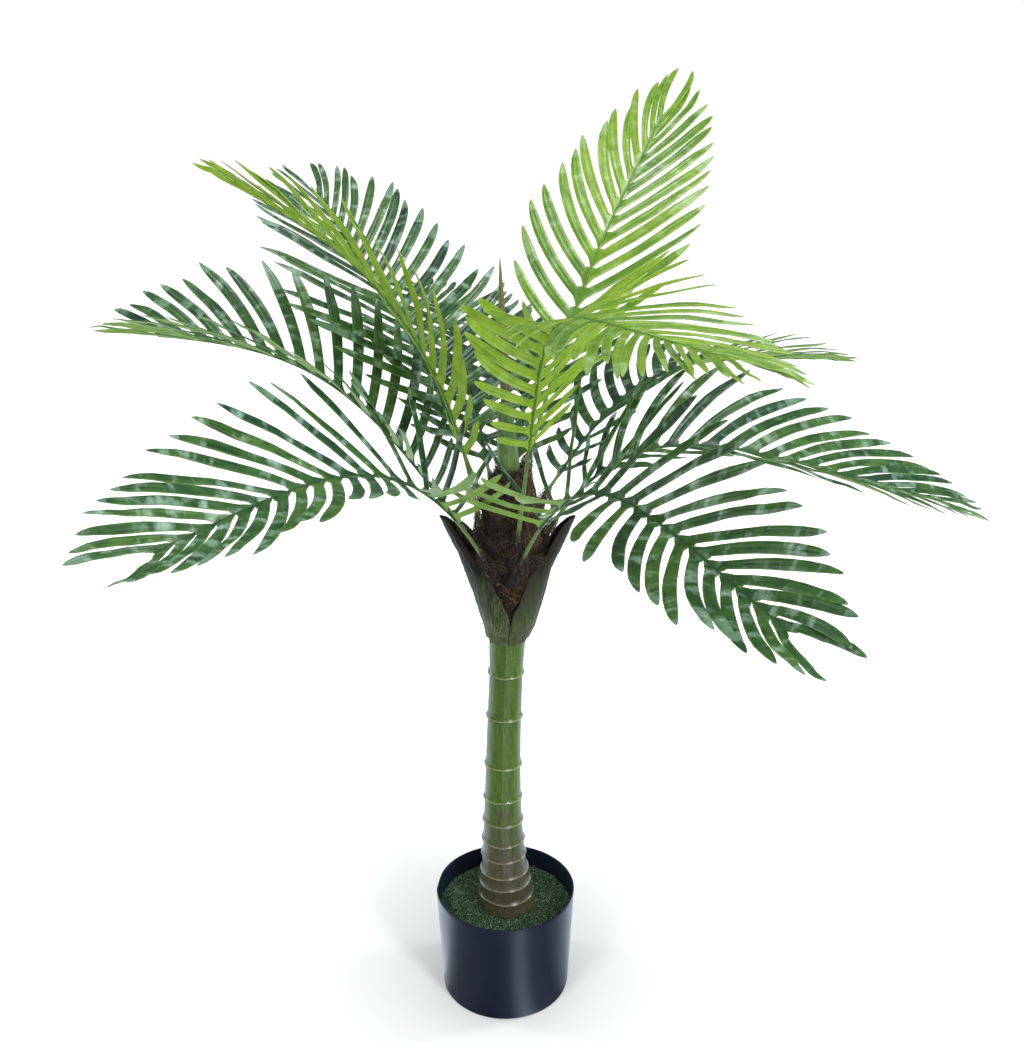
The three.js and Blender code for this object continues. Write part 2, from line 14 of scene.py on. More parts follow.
import bpy
import numpy as np
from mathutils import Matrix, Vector


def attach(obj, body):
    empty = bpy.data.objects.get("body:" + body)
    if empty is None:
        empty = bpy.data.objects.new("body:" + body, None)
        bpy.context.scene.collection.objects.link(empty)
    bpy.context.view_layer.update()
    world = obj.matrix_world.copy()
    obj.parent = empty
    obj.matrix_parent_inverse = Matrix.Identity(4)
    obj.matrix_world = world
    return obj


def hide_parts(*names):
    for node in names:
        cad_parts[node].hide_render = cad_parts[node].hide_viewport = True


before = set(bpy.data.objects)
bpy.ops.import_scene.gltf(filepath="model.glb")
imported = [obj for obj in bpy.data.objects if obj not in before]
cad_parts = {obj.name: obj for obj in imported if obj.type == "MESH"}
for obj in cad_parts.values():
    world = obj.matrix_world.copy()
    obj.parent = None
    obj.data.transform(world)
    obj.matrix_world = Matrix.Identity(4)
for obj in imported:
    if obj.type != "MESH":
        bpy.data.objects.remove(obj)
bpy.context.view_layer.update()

log = logging.getLogger("palm")
MM = 0.001
FULL_TURN = 2 * math.pi
LEAF_UV = "leaf"
Number = float | np.ndarray
Colour = tuple[float, float, float]
Point = tuple[float, float, float]
Pair = tuple[float, float]
Pairs = tuple[Pair, ...]
Arrays = tuple[np.ndarray, np.ndarray, np.ndarray]
Socket = bpy.types.NodeSocket
Material = bpy.types.Material
Piece = bpy.types.Object


def mix(low: Number, high: Number, share: Number) -> Number:
    """The value at a share of the way from low to high."""
    return low + (high - low) * share


def clamp(value: float, low: float = 0.0, high: float = 1.0) -> float:
    """The value held between two limits."""
    return max(low, min(high, value))


def smooth(value: float) -> float:
    """A soft step from 0 to 1."""
    held = clamp(value)
    return held * held * (3 - 2 * held)


def wave(size: float, count: float, place: Number, start: Number = 0.0) -> Number:
    """A sine wave of that size, which turns by count radians while the place grows by 1."""
    return size * np.sin(count * place + start)


def hill(place: np.ndarray, middle: float, breadth: float) -> np.ndarray:
    """A rounded hill of height 1 round a middle."""
    return np.exp(-(((place - middle) / breadth) ** 2))


def read_list(pairs: Pairs, place: Number) -> Number:
    """Reads a list of places and values at a place, with the end values held beyond its ends."""
    places, values = zip(*pairs)
    return np.interp(place, places, values)


def unit(vectors: np.ndarray) -> np.ndarray:
    """The vectors at a length of 1."""
    return vectors / np.maximum(np.linalg.norm(vectors, axis=-1, keepdims=True), 1e-9)


def rolled(side: np.ndarray, above: np.ndarray, angle: Number) -> tuple[np.ndarray, np.ndarray]:
    """Two axes turned about the third by an angle in radians."""
    return side * np.cos(angle) + above * np.sin(angle), above * np.cos(angle) - side * np.sin(angle)


def tube_faces(rows: int, sides: int) -> np.ndarray:
    """The faces of a tube whose points stand ring after ring."""
    low = (np.arange(rows - 1) * sides)[:, None]
    corner = np.arange(sides)
    after = (corner + 1) % sides
    faces = np.stack([low + corner, low + after, low + sides + after, low + sides + corner], axis=-1)
    return faces.reshape(-1, 4)


def repeat_faces(faces: np.ndarray, copies: int, points: int) -> np.ndarray:
    """The faces of equal copies of a shape with that many points."""
    starts = np.arange(copies)[:, None, None] * points
    return (faces[None] + starts).reshape(-1, faces.shape[1])


def choose_shader(tree: bpy.types.NodeTree, ray: str, usual: Socket, other: Socket, target: Socket) -> None:
    """Feeds a target with the other shader for one kind of ray, and with the usual one for the rest."""
    path = tree.nodes.new("ShaderNodeLightPath")
    choice = tree.nodes.new("ShaderNodeMixShader")
    tree.links.new(path.outputs[ray], choice.inputs["Fac"])
    tree.links.new(usual, choice.inputs[1])
    tree.links.new(other, choice.inputs[2])
    tree.links.new(choice.outputs["Shader"], target)


class Slot(Enum):
    """The record's material slots."""

    POT = "pot_plastic"
    GRANULES = "granules"
    TRUNK = "trunk_skin"
    SHEATH = "sheath_skin"
    SHAFT = "shaft_skin"
    FIBRE = "fibre"
    SPEAR = "spear_leaf"
    YOUNG = "young_leaf"
    GROWN = "grown_leaf"


class Paint:
    """A material under construction, with short calls for the nodes that the finishes share.

    Limits are the two values of a pattern between which it takes effect.
    """

    def __init__(self, name: str) -> None:
        """Starts a material with its shader and output."""
        self.material = bpy.data.materials.new(name)
        self.material.use_nodes = True
        self.tree = self.material.node_tree
        self.tree.nodes.clear()
        self.output = self.node("ShaderNodeOutputMaterial")
        self.shader = self.node("ShaderNodeBsdfPrincipled")
        self.link(self.shader.outputs["BSDF"], self.output.inputs["Surface"])

    def node(self, kind: str, **settings: object) -> bpy.types.Node:
        """Adds a node with its settings."""
        made = self.tree.nodes.new(kind)
        for key, value in settings.items():
            setattr(made, key, value)
        return made

    def link(self, source: Socket, target: Socket) -> None:
        """Joins two sockets."""
        self.tree.links.new(source, target)

    def place(self, scale: Point = (1, 1, 1), layer: str = "") -> Socket:
        """A pattern's coordinates: the object's own, or a UV layer's.

        Args:
            scale: How far the pattern is squeezed along each axis.
            layer: The UV layer's name, or nothing for the object's own coordinates.

        Returns:
            The scaled coordinates.
        """
        if layer:
            source = self.node("ShaderNodeUVMap", uv_map=layer).outputs["UV"]
        else:
            source = self.node("ShaderNodeTexCoord").outputs["Object"]
        mapping = self.node("ShaderNodeMapping")
        mapping.inputs["Scale"].default_value = scale
        self.link(source, mapping.inputs["Vector"])
        return mapping.outputs["Vector"]

    def height(self) -> Socket:
        """The height in metres."""
        split = self.node("ShaderNodeSeparateXYZ")
        self.link(self.place(), split.inputs["Vector"])
        return split.outputs["Z"]

    def noise(self, place: Socket, bumps: float, detail: float = 3.0) -> Socket:
        """A noise of that many bumps per metre."""
        made = self.node("ShaderNodeTexNoise")
        made.inputs["Scale"].default_value = bumps
        made.inputs["Detail"].default_value = detail
        self.link(place, made.inputs["Vector"])
        return made.outputs["Fac"]

    def maths(self, operation: str, first: Socket, second: Socket) -> Socket:
        """Adds or multiplies two values."""
        made = self.node("ShaderNodeMath", operation=operation)
        self.link(first, made.inputs[0])
        self.link(second, made.inputs[1])
        return made.outputs[0]

    def span(self, value: Socket, limits: Pair, ends: Pair = (0.0, 1.0)) -> Socket:
        """Stretches a value from its limits to the ends, and holds it there."""
        made = self.node("ShaderNodeMapRange")
        for key, number in zip(("From Min", "From Max", "To Min", "To Max"), (*limits, *ends)):
            made.inputs[key].default_value = number
        self.link(value, made.inputs["Value"])
        return made.outputs["Result"]

    def blend(self, share: Socket, first: Socket | Colour, second: Socket | Colour) -> Socket:
        """Mixes two colours by a share."""
        made = self.node("ShaderNodeMix", data_type="RGBA")
        self.link(share, made.inputs["Factor"])
        for key, colour in (("A", first), ("B", second)):
            socket = next(s for s in made.inputs if s.name == key and s.type == "RGBA")
            if isinstance(colour, tuple):
                socket.default_value = (*colour, 1.0)
            else:
                self.link(colour, socket)
        return next(s for s in made.outputs if s.type == "RGBA")

    def mottle(
        self, pattern: Socket, limits: Pair, first: Socket | Colour, second: Socket | Colour, most: float = 1.0
    ) -> Socket:
        """Lays a second colour over a first in a pattern, with a share that it covers at most."""
        return self.blend(self.span(pattern, limits, (0.0, most)), first, second)

    def bump(self, height: Socket, depth: float, strength: float = 1.0, under: Socket | None = None) -> Socket:
        """A relief of that depth in millimetres, on top of another one."""
        made = self.node("ShaderNodeBump")
        made.inputs["Strength"].default_value = strength
        made.inputs["Distance"].default_value = depth * MM
        self.link(height, made.inputs["Height"])
        if under is not None:
            self.link(under, made.inputs["Normal"])
        return made.outputs["Normal"]

    def set(self, **values: float | Colour) -> None:
        """Sets even values on the shader's own sockets, with _ for a space."""
        for key, value in values.items():
            socket = self.shader.inputs[key.replace("_", " ")]
            socket.default_value = (*value, 1.0) if isinstance(value, tuple) else value

    def to(self, key: str, source: Socket) -> None:
        """Feeds one of the shader's sockets."""
        self.link(source, self.shader.inputs[key])


@dataclass(frozen=True)
class MouldedPlastic:
    """Smooth plastic with a faint upright grain and cloudy gloss."""

    name: str = "pot plastic"
    colour: Colour = (0.0062, 0.0105, 0.0255)
    haze: Colour = (0.0088, 0.0145, 0.0335)
    gloss: Pair = (0.27, 0.35)
    clouds: float = 22
    grain: float = 260
    grain_squeeze: float = 0.06
    grain_depth: float = 0.03
    specks: float = 1900
    speck_depth: float = 0.004

    def make(self) -> Material:
        """Builds the material."""
        paint = Paint(self.name)
        wide = paint.place()
        cloud = paint.noise(wide, self.clouds, 4)
        grain = paint.noise(paint.place((1, 1, self.grain_squeeze)), self.grain, 2)
        speck = paint.noise(wide, self.specks, 2)
        paint.to("Base Color", paint.mottle(cloud, (0.2, 0.85), self.colour, self.haze))
        paint.to("Roughness", paint.span(cloud, (0.1, 0.9), self.gloss))
        paint.to("Normal", paint.bump(grain, self.grain_depth, 0.6, paint.bump(speck, self.speck_depth)))
        return paint.material


@dataclass(frozen=True)
class Grit:
    """A dry crumb or fibre with a fine uneven colour."""

    name: str
    colour: Colour
    other: Colour
    roughness: float = 0.85
    grain: float = 520
    depth: float = 0.15

    def make(self) -> Material:
        """Builds the material."""
        paint = Paint(self.name)
        grain = paint.noise(paint.place(), self.grain, 2)
        paint.to("Base Color", paint.mottle(grain, (0.4, 0.6), self.colour, self.other))
        paint.to("Normal", paint.bump(grain, self.depth))
        paint.set(Roughness=self.roughness)
        return paint.material


@dataclass(frozen=True)
class TrunkSkin:
    """Moulded trunk skin: green above and brown below, mottled, with an upright grain."""

    name: str = "trunk skin"
    green: Colour = (0.09, 0.165, 0.013)
    deep: Colour = (0.046, 0.092, 0.01)
    brown: Colour = (0.09, 0.086, 0.046)
    dusk: Colour = (0.056, 0.05, 0.032)
    brown_top: float = 325
    brown_foot: float = 205
    gloss: Pair = (0.2, 0.38)
    clouds: float = 38
    grain: float = 420
    grain_squeeze: float = 0.12
    grain_depth: float = 0.1
    specks: float = 330
    speck_depth: float = 0.07

    def make(self) -> Material:
        """Builds the material."""
        paint = Paint(self.name)
        wide = paint.place()
        cloud = paint.noise(wide, self.clouds, 4)
        grain = paint.noise(paint.place((1, 1, self.grain_squeeze)), self.grain, 4)
        speck = paint.noise(wide, self.specks, 5)
        low = paint.span(paint.height(), (self.brown_top * MM, self.brown_foot * MM))
        stain = paint.maths("ADD", paint.span(cloud, (0.3, 0.7), (-0.35, 0.35)), low)
        green = paint.mottle(grain, (0.32, 0.68), self.deep, self.green)
        brown = paint.mottle(grain, (0.3, 0.7), self.dusk, self.brown)
        wear_and_painted_highlight = paint.mottle(speck, (0.5, 0.75), green, self.deep, 0.4)
        paint.to("Base Color", paint.mottle(stain, (0.1, 0.9), wear_and_painted_highlight, brown))
        paint.to("Roughness", paint.span(speck, (0.3, 0.7), self.gloss))
        paint.to("Normal", paint.bump(grain, self.grain_depth, 0.8, paint.bump(speck, self.speck_depth, 0.8)))
        return paint.material


@dataclass(frozen=True)
class SheathSkin:
    """Leathery sheath skin, dark, wrinkled lengthwise and streaked paler low down."""

    name: str
    dark: Colour
    warm: Colour
    streak: Colour
    streak_foot: float
    streak_top: float
    tip: Colour
    streaks: float = 0.6
    base: Colour = (0.042, 0.046, 0.024)
    collar: Colour = (0.07, 0.095, 0.036)
    base_foot: float = 538
    base_top: float = 630
    tip_foot: float = 668
    tip_top: float = 690
    gloss: Pair = (0.42, 0.62)
    shine: float = 0.2
    clouds: float = 30
    squeeze: float = 0.1
    lines: float = 620
    line_depth: float = 0.12
    folds: float = 210
    fold_depth: float = 0.45

    def make(self) -> Material:
        """Builds the material."""
        paint = Paint(self.name)
        tall = paint.place((1, 1, self.squeeze))
        height = paint.height()
        cloud = paint.noise(paint.place(), self.clouds, 4)
        line = paint.noise(tall, self.lines)
        fold = paint.noise(tall, self.folds)
        high = paint.mottle(cloud, (0.35, 0.65), self.dark, self.warm)
        base = paint.mottle(fold, (0.35, 0.65), self.base, self.collar)
        body = paint.mottle(height, (self.base_top * MM, self.base_foot * MM), high, base, 0.9)
        low = paint.span(height, (self.streak_top * MM, self.streak_foot * MM))
        drawn = paint.maths("MULTIPLY", paint.span(line, (0.48, 0.66), (0.0, self.streaks)), low)
        streaked = paint.blend(drawn, body, self.streak)
        tip = paint.mottle(height, (self.tip_foot * MM, self.tip_top * MM), streaked, self.tip, 0.8)
        paint.to("Base Color", tip)
        paint.to("Roughness", paint.span(cloud, (0.3, 0.7), self.gloss))
        paint.to("Normal", paint.bump(fold, self.fold_depth, 0.8, paint.bump(line, self.line_depth, 0.8)))
        paint.set(Specular_IOR_Level=self.shine)
        return paint.material


@dataclass(frozen=True)
class StalkSkin:
    """Waxy stalk skin with fine lengthwise lines."""

    name: str
    colour: Colour
    other: Colour
    roughness: float = 0.42
    lines: float = 800
    squeeze: float = 0.15
    line_depth: float = 0.05
    clouds: float = 60

    def make(self) -> Material:
        """Builds the material."""
        paint = Paint(self.name)
        line = paint.noise(paint.place((1, 1, self.squeeze)), self.lines)
        cloud = paint.noise(paint.place(), self.clouds)
        lined = paint.mottle(line, (0.35, 0.65), self.colour, self.other)
        paint.to("Base Color", paint.mottle(cloud, (0.4, 0.8), lined, self.colour, 0.5))
        paint.to("Normal", paint.bump(line, self.line_depth, 0.7))
        paint.set(Roughness=self.roughness)
        return paint.material


@dataclass(frozen=True)
class LeafCloth:
    """Coated leaf fabric: fine parallel veins, cloudy colour, and gloss in patches across the blade, with a
    pale painted sheen in the same patches that stands in for highlights.

    The fabric's first coordinate runs along a leaflet and its second one across it.
    """

    name: str
    colour: Colour
    fresh: Colour
    painted_sheen: Colour
    painted_sheen_share: float
    gloss: Pair = (0.42, 0.24)
    shine: float = 0.42
    veins: float = 430
    vein_squeeze: float = 0.06
    vein_depth: float = 0.008
    clouds: float = 45
    bands: float = 95
    band_squeeze: Pair = (0.7, 0.35)
    swells: float = 70
    swell_squeeze: float = 0.45
    swell_depth: float = 1.5

    def make(self) -> Material:
        """Builds the material."""
        paint = Paint(self.name)
        vein = paint.noise(paint.place((self.vein_squeeze, 1, 1), LEAF_UV), self.veins, 1)
        cloud = paint.noise(paint.place(layer=LEAF_UV), self.clouds)
        band = paint.noise(paint.place((*self.band_squeeze, 1), LEAF_UV), self.bands)
        swell = paint.noise(paint.place((self.swell_squeeze, 1, 1), LEAF_UV), self.swells, 0)
        body = paint.mottle(cloud, (0.38, 0.64), self.colour, self.fresh)
        lined = paint.mottle(vein, (0.4, 0.7), body, self.fresh, 0.65)
        # The pale colour laid over the bands is painted sheen: painted highlights where the blade would catch
        # the lamps.
        paint.to("Base Color", paint.mottle(band, (0.53, 0.74), lined, self.painted_sheen, self.painted_sheen_share))
        paint.to("Roughness", paint.span(band, (0.35, 0.7), self.gloss))
        paint.to("Normal", paint.bump(vein, self.vein_depth, 0.8, paint.bump(swell, self.swell_depth, 0.9)))
        paint.set(Specular_IOR_Level=self.shine)
        return paint.material


class Bench:
    """Blender's modelling operators, used on one piece at a time."""

    @staticmethod
    def take(obj: Piece) -> None:
        """Makes one object the only selected one."""
        bpy.ops.object.select_all(action="DESELECT")
        obj.select_set(True)
        bpy.context.view_layer.objects.active = obj

    @staticmethod
    def made(name: str) -> Piece:
        """Names the active object and brings its origin home."""
        obj = bpy.context.view_layer.objects.active
        Bench.take(obj)
        bpy.ops.object.transform_apply(location=True, rotation=True, scale=True)
        obj.name = name
        obj.data.name = name
        return obj

    @staticmethod
    def start(name: str, primitive: Callable, **settings: float | str) -> Piece:
        """Starts a piece from one of Blender's primitives."""
        bpy.ops.object.select_all(action="DESELECT")
        primitive(**settings)
        return Bench.made(name)

    @staticmethod
    @contextmanager
    def editing() -> Iterator[None]:
        """Opens the active object's whole mesh for editing, and closes it again."""
        bpy.ops.object.mode_set(mode="EDIT")
        bpy.ops.mesh.select_all(action="SELECT")
        yield
        bpy.ops.object.mode_set(mode="OBJECT")

    @staticmethod
    def turned(name: str, rings: list[Point], sides: int) -> Piece:
        """A round solid, extruded and resized from a disc, ring by ring.

        Args:
            name: The piece's name.
            rings: Radius, height and sideways place of each ring, in millimetres.
            sides: How many sides a ring has.

        Returns:
            The closed solid.
        """
        radius, height, aside = rings[0]
        bpy.ops.object.select_all(action="DESELECT")
        bpy.ops.mesh.primitive_circle_add(
            vertices=sides, radius=radius * MM, fill_type="NGON", location=(aside * MM, 0, height * MM)
        )
        with Bench.editing():
            for next_radius, next_height, next_aside in rings[1:]:
                rise = ((next_aside - aside) * MM, 0, (next_height - height) * MM)
                bpy.ops.mesh.extrude_region_move(TRANSFORM_OT_translate={"value": rise})
                share = next_radius / radius
                centre = (next_aside * MM, 0, next_height * MM)
                bpy.ops.transform.resize(value=(share, share, 1), center_override=centre)
                radius, height, aside = next_radius, next_height, next_aside
            bpy.ops.mesh.select_all(action="SELECT")
            bpy.ops.mesh.normals_make_consistent(inside=False)
        return Bench.made(name)

    @staticmethod
    def finish_with(obj: Piece, kind: str, **settings: object) -> None:
        """Adds a modifier and applies it."""
        Bench.take(obj)
        modifier = obj.modifiers.new(kind.lower(), kind)
        for key, value in settings.items():
            setattr(modifier, key, value)
        bpy.ops.object.modifier_apply(modifier=modifier.name)

    @staticmethod
    def roughen(obj: Piece, *reliefs: Pair) -> None:
        """Gives a surface cloudy reliefs.

        Args:
            obj: The piece.
            reliefs: For each, its height from the lowest to the highest place and the breadth of one
                swelling, in millimetres.
        """
        for depth, breadth in reliefs:
            cloud = bpy.data.textures.new("relief", "CLOUDS")
            cloud.noise_scale = breadth * MM
            Bench.finish_with(obj, "DISPLACE", texture=cloud, strength=depth * MM, texture_coords="LOCAL")

    @staticmethod
    def shade(obj: Piece, angle: float) -> None:
        """Shades the piece smooth, with the edges over an angle in degrees kept sharp."""
        Bench.take(obj)
        bpy.ops.object.shade_smooth_by_angle(angle=math.radians(angle))

    @staticmethod
    def points(obj: Piece, scale: float = MM) -> np.ndarray:
        """The vertices of a mesh, in millimetres or in units of another length in metres."""
        flat = np.zeros(len(obj.data.vertices) * 3)
        obj.data.vertices.foreach_get("co", flat)
        return flat.reshape(-1, 3) / scale

    @staticmethod
    def faces(obj: Piece, corners: int) -> np.ndarray:
        """The vertices of each face that has that many corners."""
        return np.array([list(face.vertices) for face in obj.data.polygons if len(face.vertices) == corners])

    @staticmethod
    def reshape(obj: Piece, points: np.ndarray) -> None:
        """Puts the vertices of a mesh in their new places, given in millimetres."""
        obj.data.vertices.foreach_set("co", (points * MM).ravel())
        obj.data.update()

    @staticmethod
    def joined(
        name: str, points: np.ndarray, faces: np.ndarray, finish: np.ndarray, uv: np.ndarray | None = None
    ) -> Piece:
        """One mesh of many small copies, left as the only selected object.

        Args:
            name: The piece's name.
            points: Vertices in millimetres.
            faces: Faces, each with the same number of corners.
            finish: The material slot of each face.
            uv: A place in metres for each vertex, for the leaf fabric's pattern.

        Returns:
            The joined mesh's object.
        """
        mesh = bpy.data.meshes.new(name)
        mesh.from_pydata((points * MM).tolist(), [], faces.tolist())
        mesh.polygons.foreach_set("material_index", finish.astype(np.int32))
        if uv is not None:
            layer = mesh.uv_layers.new(name=LEAF_UV)
            layer.data.foreach_set("uv", uv[faces.ravel()].ravel())
        mesh.update()
        obj = bpy.data.objects.new(name, mesh)
        bpy.context.scene.collection.objects.link(obj)
        Bench.take(obj)
        return obj

    @staticmethod
    def hand_over(obj: Piece, slot: Slot, finishes: list[Material], *nodes: str) -> None:
        """Dresses a piece, and puts it in the place of its solids.

        Args:
            obj: The finished piece.
            slot: The record's material slot; not used.
            finishes: Its materials, in slot order.
            nodes: The solids that it stands for.
        """
        for finish in finishes:
            obj.data.materials.append(finish)
        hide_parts(*nodes)
        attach(obj, "root")
        log.info("%s: %d faces", obj.name, len(obj.data.polygons))


@dataclass
class Pot:
    """Thin-walled round pot. Its edges are steps inwards, with a height or a drop from the top."""

    height: float = 151
    rim_radius: float = 94
    foot_radius: float = 86.8
    wall: float = 2.6
    floor: float = 5
    floor_middle: float = 43.4
    foot_edge: Pairs = ((8, 0), (3, 0), (1.4, 0.5), (0.3, 1.6))
    rim_edge: Pairs = ((0.05, 4), (0, 0.9), (0.35, 0.2), (1.3, 0), (2.25, 0.2), (2.6, 0.9))
    outer_rows: tuple[float, ...] = (0.03, 0.1, 0.25, 0.4, 0.55, 0.7, 0.85, 0.93)
    inner_rows: tuple[float, ...] = (0.93, 0.8, 0.5, 0.1)
    dent_depth: float = 1.6
    dent_foot: float = 95
    sides: int = 128

    def build(self) -> None:
        """Models the pot and dresses it."""
        rings = [(self.foot_radius - inset, height, 0) for inset, height in self.foot_edge]
        rings += [self.ring(share) for share in self.outer_rows]
        rings += [(self.rim_radius - inset, self.height - drop, 0) for inset, drop in self.rim_edge]
        rings += [self.ring(share, self.wall) for share in self.inner_rows]
        rings += [(self.foot_radius - self.wall, self.floor, 0), (self.floor_middle, self.floor, 0)]
        obj = Bench.turned("pot_shell", rings, self.sides)
        self.dent(obj)
        Bench.shade(obj, 50)
        Bench.hand_over(obj, Slot.POT, [MouldedPlastic().make()], "pot")

    def ring(self, share: float, inset: float = 0) -> Point:
        """A ring of the wall at a share of the height."""
        return (mix(self.foot_radius, self.rim_radius, share) - inset, share * self.height, 0)

    def dent(self, obj: Piece) -> None:
        """Pushes the rim in slightly, most on the left and half as far on the right."""
        points = Bench.points(obj)
        heading = np.degrees(np.arctan2(points[:, 1], points[:, 0]))
        near = hill(heading, 172, 13) + 0.5 * hill(heading, -24, 20)
        high = np.clip((points[:, 2] - self.dent_foot) / (self.height - self.dent_foot), 0, 1) ** 2
        points[:, :2] *= (1 - self.dent_depth * near * high / self.rim_radius)[:, None]
        Bench.reshape(obj, points)


@dataclass
class Fill:
    """Green granules that fill the pot round the trunk's foot."""

    radius: float = 90.2
    edge_height: float = 124
    top_height: float = 126.5
    bed_drop: float = 0.8
    bed_edge: Pairs = ((4, 6), (1, 100), (0, 121))
    bed_rows: tuple[float, ...] = (0.985, 0.93, 0.86, 0.78, 0.7, 0.62, 0.54, 0.46, 0.4)
    crumbs: int = 23000
    crumb_size: float = 0.7
    crumb_spread: float = 0.3
    crumb_flatness: float = 0.75
    crumb_margin: float = 1.5
    kind_shares: tuple[float, ...] = (0.44, 0.3, 0.16, 0.1)
    seed: int = 11

    def surface(self, radius: Number) -> Number:
        """Height of the fill at a distance from the middle."""
        return mix(self.edge_height, self.top_height, np.clip(1 - radius / self.radius, 0, 1))

    def build(self) -> None:
        """Models the bed and the loose crumbs on it, and dresses both."""
        rings = [(self.radius - inset, height, 0) for inset, height in self.bed_edge]
        for radius in (self.radius * share for share in self.bed_rows):
            rings.append((radius, float(self.surface(radius)) - self.bed_drop, 0))
        bed = Bench.turned("granule_bed", rings, 96)
        Bench.roughen(bed, (1.6, 5))
        Bench.shade(bed, 60)
        dark = Grit("granule bed", (0.004, 0.011, 0.006), (0.012, 0.03, 0.014)).make()
        Bench.hand_over(bed, Slot.GRANULES, [dark], "fill")
        self.build_crumbs()

    def crumb(self) -> tuple[np.ndarray, np.ndarray]:
        """Models one crumb: a low cone with its base drawn out to a point.

        Returns:
            Its vertices, for a crumb of radius 1, and its faces.
        """
        add_cone = bpy.ops.mesh.primitive_cone_add
        blank = Bench.start("crumb_blank", add_cone, vertices=4, radius1=1, depth=1, end_fill_type="TRIFAN")
        for vertex in blank.data.vertices:
            vertex.select = vertex.co.xy.length < 0.1 and vertex.co.z < 0
        bpy.ops.object.mode_set(mode="EDIT")
        bpy.ops.transform.translate(value=(0.2, 0, -0.8))
        bpy.ops.mesh.select_all(action="SELECT")
        bpy.ops.transform.resize(value=(1.1, 0.9, 0.9))
        bpy.ops.object.mode_set(mode="OBJECT")
        shape, faces = Bench.points(blank, 1), Bench.faces(blank, 3)
        bpy.data.objects.remove(blank)
        return shape, faces

    def build_crumbs(self) -> None:
        """Strews copies of the crumb, each turned its own way."""
        shape, faces = self.crumb()
        dice = np.random.default_rng(self.seed)
        radius = np.sqrt(dice.uniform(0.13, 1, self.crumbs)) * (self.radius - self.crumb_margin)
        turn = dice.uniform(0, FULL_TURN, self.crumbs)
        size = dice.lognormal(0.0, self.crumb_spread, self.crumbs) * self.crumb_size
        centres = np.stack([radius * np.cos(turn), radius * np.sin(turn), self.surface(radius)], axis=1)
        centres[:, 2] += dice.uniform(-0.5, 1.0, self.crumbs)
        frames = np.linalg.qr(dice.normal(size=(self.crumbs, 3, 3)))[0]
        frames[:, 2, :] *= self.crumb_flatness
        points = centres[:, None, :] + np.einsum("nij,kj->nki", frames, shape) * size[:, None, None]
        kinds = dice.choice(4, self.crumbs, p=self.kind_shares)
        copies = repeat_faces(faces, self.crumbs, len(shape))
        obj = Bench.joined("granule_crumbs", points.reshape(-1, 3), copies, np.repeat(kinds, len(faces)))
        finishes = [
            Grit("granule green", (0.045, 0.115, 0.042), (0.105, 0.21, 0.085)),
            Grit("granule deep", (0.01, 0.03, 0.014), (0.022, 0.056, 0.024)),
            Grit("granule pale", (0.22, 0.32, 0.18), (0.42, 0.52, 0.36)),
            Grit("granule blue", (0.026, 0.082, 0.055), (0.065, 0.145, 0.1)),
        ]
        Bench.hand_over(obj, Slot.GRANULES, [finish.make() for finish in finishes], "fill")


